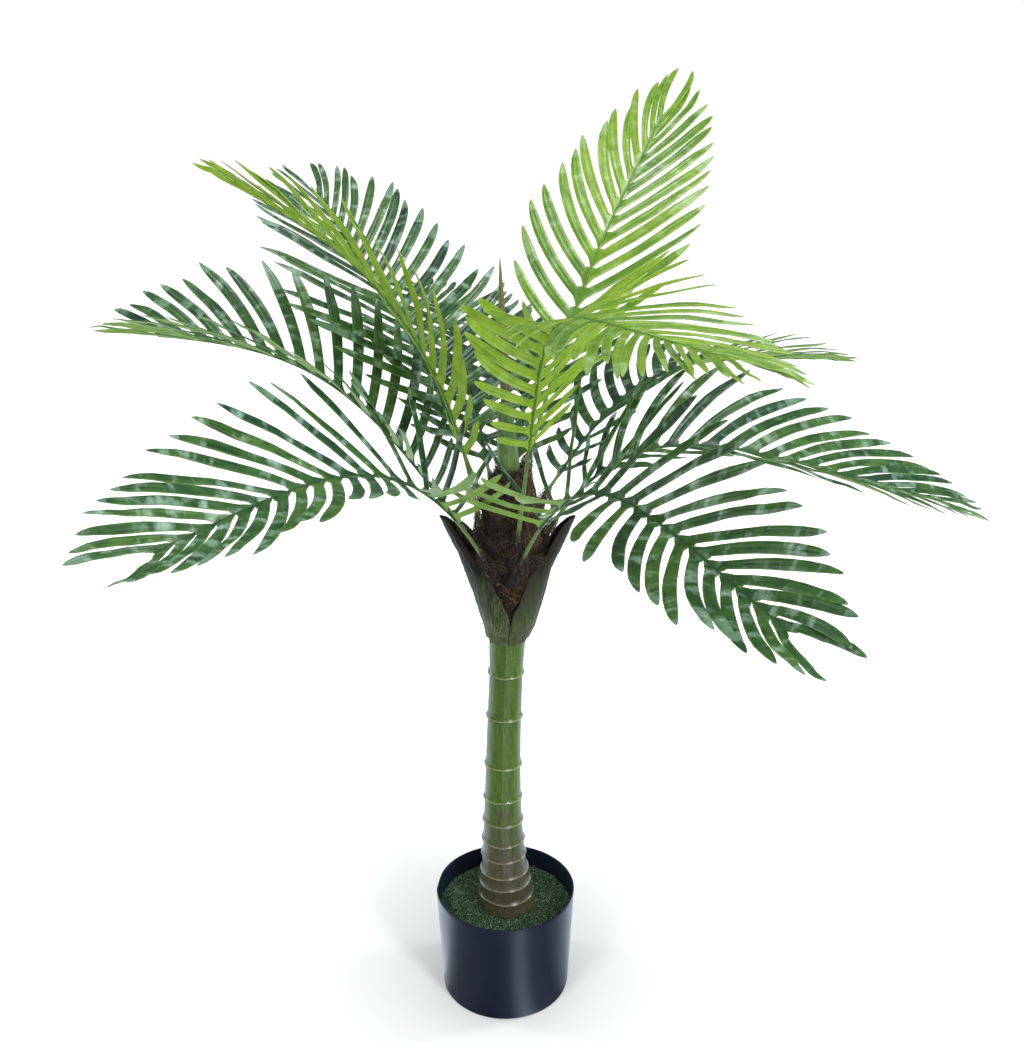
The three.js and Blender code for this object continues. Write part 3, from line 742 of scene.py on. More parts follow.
@dataclass
class Trunk:
    """Slim stem with a flared foot, a slight bow, and a cupped lip over each leaf scar."""

    foot: float = 127.3
    top: float = 528
    slim_radius: float = 21.2
    flare: float = 17.4
    flare_reach: float = 95
    top_swell: float = 1.6
    top_swell_from: float = 470
    foot_lean: float = 2.5
    top_lean: float = 3.2
    bow: float = 6
    bow_skew: float = 0.75
    lip: float = 2.1
    lip_power: float = 1.9
    cup: float = 6.5
    hollow: float = 0.25
    step: float = 2.2
    step_depth: float = 0.6
    # Height of the painted highlight along the top edge of each lip.
    painted_highlight_edge: float = 1.8
    waver: float = 1.1
    waver_reach: float = 16
    seam: float = 0.55
    seam_headings: Pair = (-93, 87)
    seam_breadth: float = 2.2
    sides: int = 112
    seed: int = 5
    row_pitch: float = 6
    ring_heights: tuple[float, ...] = (146, 165, 183, 208, 231, 261, 296, 346, 417, 479)
    ring_rows: tuple[float, ...] = (-4, -2.2, -1.1, -0.05, 0.0, 0.6, 1.2, 1.8, 3.6, 5.2, 7.5, 10.5)

    def lean(self, height: float) -> float:
        """How far the middle stands aside at a height."""
        share = clamp((height - self.foot) / (self.top - self.foot))
        return mix(self.foot_lean, self.top_lean, share) - self.bow * math.sin(math.pi * share**self.bow_skew)

    def radius(self, height: float) -> float:
        """The plain radius at a height, without lips."""
        flare = self.flare * math.exp(-(height - self.foot) / self.flare_reach)
        swell = self.top_swell * smooth((height - self.top_swell_from) / (self.top - self.top_swell_from))
        return self.slim_radius + flare + swell

    def proud(self, height: float) -> float:
        """How far the skin stands out at a height: out at each lip, and in at the step beneath it."""
        most = -self.hollow
        for above in (height - ring for ring in self.ring_heights):
            if 0 <= above <= self.cup:
                most = max(most, self.lip * (1 - above / self.cup) ** self.lip_power)
            elif -self.step < above < 0:
                most = max(most, -self.step_depth)
        return most

    def build(self) -> None:
        """Models the trunk and dresses it."""
        heights = {self.foot, self.foot + 4, self.top}
        heights.update(ring + above for ring in self.ring_heights for above in self.ring_rows)
        for height in np.arange(self.foot + 8, self.top, self.row_pitch).tolist():
            if min(abs(height - ring) for ring in self.ring_heights) > self.ring_rows[-1]:
                heights.add(height)
        rings = [(self.radius(h) + self.proud(h), h, self.lean(h)) for h in sorted(heights)]
        obj = Bench.turned("trunk_skin", rings, self.sides)
        marks = self.marks(obj)
        points = Bench.points(obj)
        self.tilt_lips(points)
        self.raise_seams(points)
        Bench.reshape(obj, points)
        Bench.roughen(obj, (0.7, 9), (0.35, 3))
        Bench.shade(obj, 42)
        obj.data.polygons.foreach_set("material_index", marks)
        # The pale lip finish is a painted highlight on each lip's top edge, and the dark finish after it is
        # painted shade in the step beneath.
        lip = TrunkSkin(
            "trunk lip painted highlight skin", green=(0.25, 0.31, 0.14), deep=(0.15, 0.19, 0.08), brown=(0.2, 0.18, 0.12),
            dusk=(0.12, 0.105, 0.07),
        )
        painted_shade = TrunkSkin("trunk scar skin", green=(0.04, 0.045, 0.016), deep=(0.02, 0.02, 0.01))
        Bench.hand_over(obj, Slot.TRUNK, [TrunkSkin().make(), lip.make(), painted_shade.make()], "trunk")

    def marks(self, obj: Piece) -> np.ndarray:
        """The finish of each face: 0 plain, 1 with a painted highlight on a lip's top edge, and 2 with painted
        shade in the step beneath it.
        """
        centres = np.array([face.center.z for face in obj.data.polygons]) / MM
        above = centres[:, None] - np.array(self.ring_heights)
        # Faces on a lip's top edge get a painted highlight, and faces in the step beneath it get painted shade.
        wear_and_painted_highlight = ((above >= 0) & (above <= self.painted_highlight_edge)).any(axis=1)
        painted_shade = ((above >= -self.step) & (above < 0)).any(axis=1)
        return np.where(painted_shade, 2, wear_and_painted_highlight).astype(np.int32)

    def tilt_lips(self, points: np.ndarray) -> None:
        """Tilts each lip and lets it waver, by moving the vertices."""
        dice = np.random.default_rng(self.seed)
        for ring in self.ring_heights:
            near = np.clip(1 - np.abs(points[:, 2] - ring) / self.waver_reach, 0, 1) ** 0.7
            turn = np.arctan2(points[:, 1], points[:, 0] - self.lean(ring))
            waver = np.zeros(len(points))
            for lobes in (1, 2, 3, 5, 8):
                waver += wave(dice.uniform(0.3, 1.0) / lobes, lobes, turn, dice.uniform(0, FULL_TURN))
            points[:, 2] += self.waver * waver * near * (points[:, 2] > self.foot + 1)

    def raise_seams(self, points: np.ndarray) -> None:
        """Raises the two moulding seams, by moving the vertices."""
        middle = np.array([self.lean(height) for height in points[:, 2]])
        heading = np.degrees(np.arctan2(points[:, 1], points[:, 0] - middle))
        ridge = sum(hill(heading, seam, self.seam_breadth) for seam in self.seam_headings)
        reach = np.hypot(points[:, 0] - middle, points[:, 1])
        share = 1 + self.seam * ridge / np.maximum(reach, 1)
        points[:, 0] = mix(middle, points[:, 0], share)
        points[:, 1] *= share


@dataclass
class Crown:
    """Two leaf sheaths that clasp the fibre, left and right, and open in a V front and back."""

    foot: float = 528.3
    foot_x: float = 3.5
    top_x: float = 7.5
    shift_height: float = 30
    tip: float = 690
    fork: float = 560
    blade: float = 652
    foot_width: float = 24.5
    fork_width: float = 36
    blade_width: float = 17
    blade_sag: float = 17
    least_sag: float = 1.5
    sag_reach: float = 100
    thickness: float = 3.2
    ragged_from: float = 556
    foot_drop: float = 3
    foot_flare: float = 0.8
    rows: int = 70
    columns: int = 44
    seed: int = 21
    left_reach: Pairs = ((528, 21.5), (545, 26.5), (587, 38.5), (641, 56.5), (690, 80))
    right_reach: Pairs = ((528, 28.5), (545, 38), (587, 49.5), (622, 57.5), (690, 87))

    def middle(self, height: float) -> float:
        """How far the crown's middle stands aside at a height."""
        return mix(self.foot_x, self.top_x, clamp((height - self.foot) / self.shift_height))

    def tip_round(self, height: float) -> float:
        """The rounding of a sheath's tip, from 1 at the blade's start to 0 at the tip."""
        share = clamp((height - self.blade) / (self.tip - self.blade))
        return math.sqrt(1 - share * share)

    def width(self, height: float) -> float:
        """Half a sheath's width across its back at a height."""
        if height < self.fork:
            return mix(self.foot_width, self.fork_width, smooth((height - self.foot) / (self.fork - self.foot)))
        if height < self.blade:
            return mix(self.fork_width, self.blade_width, (height - self.fork) / (self.blade - self.fork))
        return self.blade_width * self.tip_round(height)

    def outer(self, side: int, height: float, across: float) -> Point:
        """A point on a sheath's outer face.

        Args:
            side: -1 on the left and 1 on the right.
            height: The height.
            across: -1 at the front edge, 0 on the back and 1 at the rear edge.

        Returns:
            The point in millimetres.
        """
        reach = read_list(self.left_reach if side < 0 else self.right_reach, height)
        full = reach - side * self.middle(height) - 0.2
        blade_sag = self.blade_sag * self.tip_round(height) + self.least_sag
        sag = mix(full, blade_sag, smooth((height - self.fork) / self.sag_reach))
        turn = math.pi / 2 * across
        return (side * (reach - sag + math.cos(turn) * sag), math.sin(turn) * self.width(height), height)

    def build(self) -> None:
        """Models both sheaths and dresses them."""
        left = SheathSkin(
            "left sheath skin", dark=(0.01, 0.012, 0.005), warm=(0.028, 0.024, 0.013),
            streak=(0.17, 0.22, 0.09), streak_foot=560, streak_top=640, tip=(0.03, 0.045, 0.018),
        )
        right = SheathSkin(
            "right sheath skin", dark=(0.009, 0.01, 0.005), warm=(0.024, 0.02, 0.011),
            streak=(0.075, 0.105, 0.034), streak_foot=545, streak_top=620, tip=(0.02, 0.022, 0.013),
        )
        for side, name, skin in ((-1, "left", left), (1, "right", right)):
            obj = self.sheath(side, f"sheath_{name}")
            Bench.hand_over(obj, Slot.SHEATH, [skin.make()], f"boot_{name}")

    def sheath(self, side: int, name: str) -> Piece:
        """One sheath: a grid laid round the crown, thickened, subdivided and wrinkled."""
        add_grid = bpy.ops.mesh.primitive_grid_add
        obj = Bench.start(name, add_grid, x_subdivisions=self.columns, y_subdivisions=self.rows, size=2)
        phases = np.random.default_rng(self.seed + side).uniform(0, FULL_TURN, 6)
        places = [self.sheath_point(side, x, (y + 1) / 2, phases) for x, y, _ in Bench.points(obj, 1)]
        Bench.reshape(obj, np.array(places))
        Bench.finish_with(obj, "SOLIDIFY", thickness=self.thickness * MM, offset=-side)
        with Bench.editing():
            bpy.ops.mesh.remove_doubles(threshold=0.05 * MM)
            bpy.ops.mesh.normals_make_consistent(inside=False)
        Bench.finish_with(obj, "SUBSURF", levels=1, render_levels=1)
        Bench.roughen(obj, (1.4, 11), (0.6, 3.5))
        Bench.shade(obj, 70)
        return obj

    def sheath_point(self, side: int, across: float, share: float, phases: np.ndarray) -> Point:
        """A point of a sheath with its ragged edges, folds and rippled foot.

        Args:
            side: -1 on the left and 1 on the right.
            across: -1 at the front edge, 0 on the back and 1 at the rear edge.
            share: The share of the sheath's height.
            phases: Where each of the waves starts.

        Returns:
            The point in millimetres.
        """
        height = mix(self.foot - 2, self.tip - 0.4, 1 - (1 - share) ** 1.15)
        edge = 0.9 + wave(0.02, 23, share, phases[0]) + wave(0.015, 51, share, phases[1])
        ragged = across * mix(1.0, edge, smooth((height - self.ragged_from) / 30))
        x, y, z = self.outer(side, max(height, self.foot), ragged)
        fold = wave(0.55, 9, across, phases[2] + 2 * share) + wave(0.35, 21, across, phases[3])
        swell = fold * smooth(share * 6) * smooth((1 - share) * 5)
        foot = smooth(1 - share * 9)
        ripple = foot * (wave(1.2, 17, across, phases[4]) + self.foot_flare)
        drop = foot * self.foot_drop * (0.5 + wave(0.5, 13, across, phases[5]))
        return (x + side * (swell + ripple), y * (1 + 0.03 * foot), z - drop)


@dataclass
class FibreCore:
    """Coarse fibre that fills the sheaths and stands out above them, as lumpy bodies under loose strands."""

    top: float = 748
    top_radius: float = 11
    skin: float = 3.2
    strands: int = 2700
    loose: int = 300
    packed: int = 1500
    tuft: int = 130
    strand_feet: Pair = (552, 742)
    loose_feet: Pair = (728, 746)
    strand_lengths: Pair = (14, 46)
    packed_feet: Pair = (556, 650)
    packed_lengths: Pair = (10, 30)
    tuft_feet: Pair = (-8, 21)
    tuft_lengths: Pair = (9, 22)
    stray: float = 0.25
    thickness: float = 0.27
    steps: int = 8
    seed: int = 31
    filling_gap: float = 5.5
    filling_neck: float = 636
    filling_shrink: float = 0.55
    filling_dip: float = 10
    profile: Pairs = (
        (528.3, 14.5), (545, 20), (560, 25), (587, 27), (619, 30), (650, 36), (666, 40), (671, 37),
        (674, 34.5), (696, 34), (712, 32), (728, 28), (740, 23), (748, 17),
    )
    rows: tuple[float, ...] = (
        528.3, 536, 545, 552, 560, 573, 587, 603, 619, 635, 650, 660, 668, 673, 678, 690, 702, 714, 726,
        735, 741, 745, 747.5,
    )
    filling_rows: tuple[float, ...] = (532, 540, 548, 556, 566, 578, 590, 604, 618, 630, 640, 646, 650)
    collar: Pairs = ((7.5, -20), (8.6, -14), (8, -6), (7.2, 2), (6.2, 8), (5, 13), (3.6, 16))

    def radius(self, height: Number) -> Number:
        """Radius of the fibre at a height."""
        return read_list(self.profile, height)

    def build(self, crown: Crown, fronds: list["Frond"]) -> None:
        """Models the bodies and the strands, and dresses them.

        Args:
            crown: The sheaths that hold the fibre, for its place.
            fronds: The fronds that are rooted in it.
        """
        rings = [(self.radius(height) - self.skin, height, crown.middle(height)) for height in self.rows]
        rings.append((self.top_radius, self.top, crown.top_x))
        body = Bench.turned("fibre_body", rings, 64)
        Bench.roughen(body, (4.0, 9), (2.0, 3))
        Bench.shade(body, 80)
        soil = [Grit("fibre body", (0.005, 0.0035, 0.0025), (0.017, 0.01, 0.006), 0.95).make()]
        Bench.hand_over(body, Slot.FIBRE, soil, "fibre_core")
        Bench.hand_over(self.filling(crown), Slot.FIBRE, soil, "fibre_core")
        self.build_strands(crown)
        self.build_packing(crown)
        Bench.hand_over(self.collars(fronds), Slot.FIBRE, soil, "fibre_core")
        self.build_tufts(fronds)

    def filling_place(self, crown: Crown, turn: float, height: float) -> Point:
        """A point on the filling between the core and the sheaths.

        Args:
            crown: The sheaths.
            turn: The direction from the middle, in radians.
            height: The height.

        Returns:
            The point in millimetres.
        """
        shrink = 1 - self.filling_shrink * smooth((height - self.filling_neck) / 16)
        left = read_list(crown.left_reach, height) - self.filling_gap
        right = read_list(crown.right_reach, height) - self.filling_gap
        inner = self.radius(height) - 4
        deep = (crown.width(height) - 4.5) * (1 - 0.25 * smooth((height - crown.fork) / 60))
        out = mix(inner, max((right + left) / 2, inner), shrink)
        drop = self.filling_dip * (1 - shrink) * abs(math.cos(turn))
        return ((right - left) / 2 + out * math.cos(turn), max(deep, inner) * math.sin(turn), height - drop)

    def filling(self, crown: Crown) -> Piece:
        """The fibre between the core and the sheaths, which follows their inner faces up to a rough top."""
        obj = Bench.turned("fibre_filling", [(20, height, 0) for height in self.filling_rows], 72)
        places = [self.filling_place(crown, math.atan2(y, x), height) for x, y, height in Bench.points(obj)]
        Bench.reshape(obj, np.array(places))
        Bench.roughen(obj, (4.5, 8), (2.5, 3))
        Bench.shade(obj, 80)
        return obj

    def build_strands(self, crown: Crown) -> None:
        """Lays strands over the body, crossing one another, with loose ends round its top."""
        dice = np.random.default_rng(self.seed)
        count = self.strands + self.loose
        column = (count, 1)
        free = np.arange(count) >= self.strands
        share = np.linspace(0, 1, self.steps + 1)[None, :]
        bound_feet, loose_feet = dice.uniform(*self.strand_feet, column), dice.uniform(*self.loose_feet, column)
        foot = np.where(free[:, None], loose_feet, bound_feet)
        turn = dice.uniform(0, FULL_TURN, column)
        length = dice.uniform(*self.strand_lengths, column)
        slant = dice.normal(0, 0.75, column)
        bend = dice.normal(0, 0.9, column)
        heading = slant + bend * (share - 0.5)
        height = np.minimum(foot + length * share * np.cos(heading), self.top + 3)
        lift = dice.uniform(-2.6, -0.6, column) + wave(1.6, math.pi, share) * dice.uniform(0, 1, column)
        lift += dice.uniform(0, 3.4, column) * share**2
        lift[free] += dice.uniform(1, 9, (self.loose, 1)) * share**1.5
        height[free] = foot[free] + 0.32 * length[free] * share
        round_by = turn + length * share * np.sin(heading) / 33
        radius = self.radius(height) + lift
        middle = np.array([crown.middle(h) for h in height.ravel()]).reshape(height.shape)
        path = np.stack([middle + radius * np.cos(round_by), radius * np.sin(round_by), height], axis=-1)
        path += dice.normal(0, self.stray, path.shape)
        facing = turn[:, 0]
        kinds = np.where(dice.random(count) < 0.5 + 0.22 * np.cos(facing - 0.3), 1, 0)
        kinds = np.where(dice.random(count) < 0.16 + 0.16 * np.cos(facing), 2, kinds)
        self.tubes("fibre_strands", path, kinds, dice)

    def build_packing(self, crown: Crown) -> None:
        """Lays strands over the filling."""
        dice = np.random.default_rng(self.seed + 1)
        paths = np.zeros((self.packed, self.steps + 1, 3))
        for path in paths:
            turn = dice.uniform(0, FULL_TURN)
            height = dice.uniform(*self.packed_feet)
            slant = dice.normal(0, 1.0)
            bend = dice.normal(0, 0.8)
            length = dice.uniform(*self.packed_lengths)
            for step in range(self.steps + 1):
                share = step / self.steps
                heading = slant + bend * (share - 0.5)
                up = min(height + length * share * math.cos(heading), self.packed_feet[1] + 1)
                place = self.filling_place(crown, turn + length * share * math.sin(heading) / 42, up)
                middle = np.array([crown.middle(up), 0, place[2]])
                out = np.array(place) - middle
                rise = dice.uniform(-0.5, 1.2) + wave(1.5, math.pi, share) * dice.uniform(0, 1)
                path[step] = middle + out * (1 + rise / max(float(np.linalg.norm(out)), 1.0))
        kinds = np.where(dice.random(self.packed) < 0.3, 1, 0)
        self.tubes("fibre_packing", paths, kinds, dice)

    def collars(self, fronds: list["Frond"]) -> Piece:
        """Models one lumpy collar and sets a copy round each stalk's foot."""
        blank = Bench.turned("tuft_blank", [(radius, height, 0) for radius, height in self.collar], 20)
        Bench.roughen(blank, (2.4, 4))
        shape, sides = Bench.points(blank), Bench.faces(blank, 4)
        bpy.data.objects.remove(blank)
        points = [np.array(frond.seat) + shape @ np.stack(frond.foot_axes()) for frond in fronds]
        faces = repeat_faces(sides, len(fronds), len(shape))
        obj = Bench.joined("fibre_collars", np.vstack(points), faces, np.zeros(len(faces)))
        with Bench.editing():
            bpy.ops.mesh.fill_holes(sides=0)
            bpy.ops.mesh.normals_make_consistent(inside=False)
        Bench.shade(obj, 80)
        return obj

    def build_tufts(self, fronds: list["Frond"]) -> None:
        """Winds strands round each stalk's foot."""
        dice = np.random.default_rng(self.seed + 2)
        share = np.linspace(0, 1, self.steps + 1)[:, None]
        paths = []
        for frond in fronds:
            side, above, tangent = frond.foot_axes()
            for _ in range(self.tuft):
                start = dice.uniform(*self.tuft_feet)
                length = dice.uniform(*self.tuft_lengths)
                turn = dice.uniform(0, FULL_TURN)
                wind = dice.normal(0, 0.9)
                near = dice.uniform(3.4, 5.6) + max(0.0, 3 - start / 4)
                reach = near + (1 - share) * 3 - 1.5 * share * (near > 4)
                out = rolled(side, above, turn + wind * share)[0]
                paths.append(np.array(frond.seat) + tangent * (start + length * share) + out * reach)
        path = np.array(paths)
        path += dice.normal(0, self.stray, path.shape)
        kinds = dice.choice(3, len(path), p=[0.62, 0.28, 0.1])
        self.tubes("fibre_tufts", path, kinds, dice)

    def tubes(self, name: str, path: np.ndarray, kinds: np.ndarray, dice: np.random.Generator) -> None:
        """Three-sided tubes along many paths, joined.

        Args:
            name: The piece's name.
            path: For each strand, the points that it follows.
            kinds: The finish of each strand.
            dice: The random source.
        """
        count, rows, _ = path.shape
        along = unit(np.gradient(path, axis=1))
        side = unit(np.cross(along, unit(dice.normal(size=(count, 1, 3)))))
        out = np.cross(along, side)
        thick = self.thickness * dice.uniform(0.7, 1.35, (count, 1, 1)) * np.ones((1, rows, 1))
        thick[:, -1] *= 0.35
        corners = [path + thick * rolled(side, out, FULL_TURN * corner / 3)[0] for corner in range(3)]
        points = np.stack(corners, axis=2).reshape(-1, 3)
        blank = tube_faces(rows, 3)
        obj = Bench.joined(name, points, repeat_faces(blank, count, rows * 3), np.repeat(kinds, len(blank)))
        Bench.shade(obj, 80)
        finishes = [
            Grit("fibre dark", (0.012, 0.0075, 0.0045), (0.03, 0.018, 0.01), 0.75),
            Grit("fibre tan", (0.045, 0.027, 0.014), (0.085, 0.05, 0.026), 0.7),
            Grit("fibre gold", (0.13, 0.075, 0.026), (0.2, 0.125, 0.045), 0.65),
        ]
        Bench.hand_over(obj, Slot.FIBRE, [finish.make() for finish in finishes], "fibre_core")


@dataclass
class Centre:
    """Centre shaft with the unopened leaf that stands on it."""

    foot: float = 746
    foot_x: float = 5
    foot_radius: float = 14
    shaft_top: float = 830
    top_x: float = 1
    top_radius: float = 8
    top_edge: float = 1.5
    top_edge_share: float = 0.72
    shaft_rows: int = 14
    tip: float = 998
    tip_x: float = -4.6
    tip_radius: float = 0.35
    leaf_root: float = 4
    leaf_radii: Pair = (4.4, 5.4)
    leaf_flatness: float = 0.6
    leaf_rows: int = 22

    def build(self) -> None:
        """Models the shaft and the leaf, and dresses both."""
        rings = []
        for share in np.linspace(0, 1, self.shaft_rows).tolist():
            radius = mix(self.foot_radius, self.top_radius, share)
            rings.append((radius, mix(self.foot, self.shaft_top, share), mix(self.foot_x, self.top_x, share)))
        rings.append((self.top_radius * self.top_edge_share, self.shaft_top + self.top_edge, self.top_x))
        shaft = Bench.turned("centre_stem", rings, 40)
        middle = (self.foot_x + self.top_x) / 2
        self.pleat(shaft, ((self.foot, middle),), ((0.035, 7, 0, 0), (0.02, 13, 1, 0)))
        Bench.roughen(shaft, (0.6, 8))
        Bench.shade(shaft, 50)
        skin = StalkSkin("centre stem skin", (0.09, 0.17, 0.045), (0.16, 0.27, 0.08))
        Bench.hand_over(shaft, Slot.SHAFT, [skin.make()], "centre_shaft")
        rings = []
        for share in np.linspace(0, 1, self.leaf_rows).tolist():
            radius = mix(*self.leaf_radii, smooth(share * 3)) * (1 - share**2.2) + self.tip_radius
            height = mix(self.shaft_top - self.leaf_root, self.tip, share)
            rings.append((radius, height, mix(self.top_x, self.tip_x, share)))
        leaf = Bench.turned("unopened_leaf", rings, 24)
        line = ((self.shaft_top, self.top_x), (self.tip, self.tip_x))
        self.pleat(leaf, line, ((0.16, 5, 0, 0.01),), self.leaf_flatness)
        Bench.shade(leaf, 30)
        skin = StalkSkin("unopened leaf skin", (0.13, 0.15, 0.05), (0.22, 0.16, 0.09), 0.5)
        Bench.hand_over(leaf, Slot.SPEAR, [skin.make()], "spear")

    @staticmethod
    def pleat(obj: Piece, line: Pairs, folds: tuple, flatness: float = 1.0) -> None:
        """Presses lengthwise folds into a piece.

        Args:
            obj: The piece.
            line: Heights with the sideways place of the piece's middle.
            folds: Depth, number, start and twist per millimetre of each set of folds.
            flatness: How far the piece is flattened from front to back.
        """
        points = Bench.points(obj)
        middle = read_list(line, points[:, 2])
        turn = np.arctan2(points[:, 1], points[:, 0] - middle)
        share = np.ones(len(points))
        for depth, number, start, twist in folds:
            share += wave(depth, number, turn, start + twist * points[:, 2])
        points[:, 0] = mix(middle, points[:, 0], share)
        points[:, 1] *= share * flatness
        Bench.reshape(obj, points)


@dataclass(frozen=True)
class Frond:
    """One frond's rule.

    The rib leaves its seat at its heading and rise, and turns by its swing and to its end rise in one
    crook. Lead is the straight run that roots it, petiole and blade are lengths along it, and roll turns
    the blade about it. Fold lifts both rows of leaflets into a V, which gather closes further at the
    blade's start. Spread is a leaflet's angle to the rib at the blade's start, where fan adds to it, and
    tip lean is its angle at the tip. Curl and arch bend it towards the tip and sag bends it down. Stretch
    is its length as a share of the longest leaflet's, which root share and tip share lower at the ends.
    """

    name: str
    slot: Slot
    seat: Point
    lead: float
    heading: float
    swing: float
    rise: float
    end_rise: float
    crook_at: float
    crook_reach: float
    blade: float
    pairs: int
    roll: float
    end_roll: float
    fold: float
    spread: float
    curl: float
    tip_lean: float
    petiole: float = 80
    width: float = 14
    sag: float = 10
    arch: float = 8
    gather: float = 0
    fan: float = 0
    stretch: float = 1
    root_share: float = 0.46
    tip_share: float = 0.46

    def crook(self, along: np.ndarray) -> np.ndarray:
        """How far the rib has turned, from 0 at the seat to 1 at the tip."""
        first = math.tanh(-self.crook_at / self.crook_reach)
        last = math.tanh((1 - self.crook_at) / self.crook_reach)
        return (np.tanh((along - self.crook_at) / self.crook_reach) - first) / (last - first)

    def rib_frame(self, along: np.ndarray) -> Arrays:
        """The rib's tangent, right-hand side and upper normal at shares of its length."""
        bent = self.crook(along)
        heading = np.radians(self.heading + self.swing * bent)
        rise = np.radians(mix(self.rise, self.end_rise, bent))
        level = np.cos(rise)
        tangent = np.stack([level * np.cos(heading), level * np.sin(heading), np.sin(rise)], axis=-1)
        side = np.stack([np.sin(heading), -np.cos(heading), np.zeros_like(heading)], axis=-1)
        return tangent, side, np.cross(side, tangent)

    def foot_axes(self) -> Arrays:
        """The rib's right-hand side, upper normal and tangent at its seat."""
        tangent, side, above = (axis[0] for axis in self.rib_frame(np.array([0.0])))
        return side, above, tangent

    def blade_frame(self, along: np.ndarray) -> Arrays:
        """The rib's tangent with the blade's own right-hand side and upper side."""
        tangent, side, normal = self.rib_frame(along)
        first = self.along_from(0)
        place = np.clip((along - first) / (1 - first), 0, 1)
        flat, above = rolled(side, normal, np.radians(mix(self.roll, self.end_roll, place))[..., None])
        return tangent, flat, above

    def along_from(self, place: float) -> float:
        """The share of the whole rib at a place along the blade."""
        return (self.petiole + place * self.blade) / (self.petiole + self.blade)

    def rib_points(self, steps: int) -> np.ndarray:
        """The rib's points from its seat to its tip."""
        tangent = self.rib_frame((np.arange(steps) + 0.5) / steps)[0]
        stride = (self.petiole + self.blade) / steps
        return np.vstack([self.seat, np.array(self.seat) + np.cumsum(tangent * stride, axis=0)])


@dataclass(frozen=True)
class LeafletRule:
    """How leaflets stand along a blade, by the same rule as the solids, and how far each one strays."""

    longest: float = 158
    root_reach: float = 0.25
    root_width: float = 0.64
    tip_from: float = 0.6
    angle_fall: float = 0.85
    gather_reach: float = 0.25
    pitch_share: float = 0.8
    least_width: float = 0.6
    web: float = 5
    notch: float = 4
    shear_reach: float = 30
    rib_steps: int = 60
    path_steps: int = 40
    stray_lift: float = 2.5
    stray_curl: float = 4
    stray_twist: float = 9
    flutter: float = 0.12
    ripple: float = 0.35

    def length(self, frond: Frond, place: float) -> float:
        """A leaflet's length at a place along the blade."""
        root = mix(frond.root_share, 1, smooth(place / self.root_reach))
        fall = clamp((place - self.tip_from) / (1 - self.tip_from)) ** 1.5
        return frond.stretch * self.longest * root * mix(1, frond.tip_share, fall)

    def angle(self, frond: Frond, place: float) -> float:
        """A leaflet's angle to the rib, in radians."""
        lean = mix(frond.tip_lean, frond.spread, (1 - place) ** self.angle_fall)
        back = frond.fan * (1 - smooth(place / self.gather_reach))
        return math.radians(lean + back + frond.arch / 2)

    def leaflet_width(self, frond: Frond, place: float) -> float:
        """A leaflet's width. One that leans along the rib is narrower, so that it is clear of the next."""
        pitch = frond.blade / frond.pairs
        root = mix(self.root_width, 1, smooth(place / self.root_reach))
        clear = self.pitch_share * pitch * math.sin(self.angle(frond, place))
        return min(frond.width * root, max(clear, self.least_width * frond.width))


@dataclass(frozen=True)
class LeafletBlank:
    """The blank that every leaflet is cut from: a creased strap with a web at its root and a pointed tip.

    The section has heights at shares of the half width, the outline has shares of the half width at
    shares of the free length, and the creases lose depth towards the root and the tip.
    """

    web_rows: int = 3
    thickness: float = 0.55
    section: Pairs = ((0, 0.15), (0.42, 0.75), (0.86, -0.3), (1, -0.6))
    outline: Pairs = (
        (0.0, 0.86), (0.12, 0.89), (0.26, 0.94), (0.4, 0.98), (0.54, 1.0), (0.68, 0.97), (0.79, 0.87),
        (0.87, 0.71), (0.93, 0.5), (0.975, 0.27), (1.0, 0.04),
    )
    root_creases: Pairs = ((0, 0.15), (1, 0.5), (3, 1))
    tip_creases: Pairs = ((0, 1), (0.85, 0.8), (1, 0.1))

    def build(self) -> Arrays:
        """Models the blank.

        Returns:
            Its vertices (row number, share of the half width, height in millimetres, place across), its
            faces, and the finish of each face: 0 on top, 1 beneath and 2 on the cut edge.
        """
        rows = len(self.outline) - 1 + self.web_rows
        strips = len(self.section) - 1
        add_grid = bpy.ops.mesh.primitive_grid_add
        obj = Bench.start("leaflet_blank", add_grid, x_subdivisions=rows, y_subdivisions=2 * strips, size=2)
        points = Bench.points(obj, 1)
        row = np.round((points[:, 0] + 1) / 2 * rows)
        place, height = np.array(self.section)[np.round(np.abs(points[:, 1]) * strips).astype(int)].T
        across = np.sign(points[:, 1]) * place
        stations = [station for station, _ in self.outline]
        free = np.interp(row - self.web_rows, range(len(stations)), stations)
        share = np.where(row < self.web_rows, 1.0, read_list(self.outline, free))
        height = height * read_list(self.root_creases, row) * read_list(self.tip_creases, free)
        Bench.reshape(obj, np.stack([row * 100, across * share * 100, height], axis=1))
        for face_kind in ("top", "beneath", "edge"):
            obj.data.materials.append(bpy.data.materials.new(face_kind))
        Bench.finish_with(
            obj, "SOLIDIFY", thickness=self.thickness * MM, offset=-1, material_offset=1, material_offset_rim=2
        )
        faces = Bench.faces(obj, 4)
        finish = np.array([face.material_index for face in obj.data.polygons])
        top = np.stack([row, across * share, height, across], axis=1)
        under = top - np.array([0, 0, self.thickness, 0])
        bpy.data.objects.remove(obj)
        return np.vstack([top, under]), faces, finish


@dataclass(frozen=True)
class LeafletLine:
    """A leaflet's centre line: its points, and the direction and width direction of each step between."""

    points: np.ndarray
    direction: np.ndarray
    across: np.ndarray
    angle: float
    length: float

    def at(self, distance: np.ndarray) -> Arrays:
        """The points, width directions and upper sides at distances along the line."""
        steps = len(self.direction)
        share = distance / self.length * steps
        step = np.clip(np.floor(share).astype(int), 0, steps - 1)
        direction, across = self.direction[step], self.across[step]
        base = self.points[step] + direction * (share - step)[:, None] * self.length / steps
        return base, across, np.cross(direction, across)


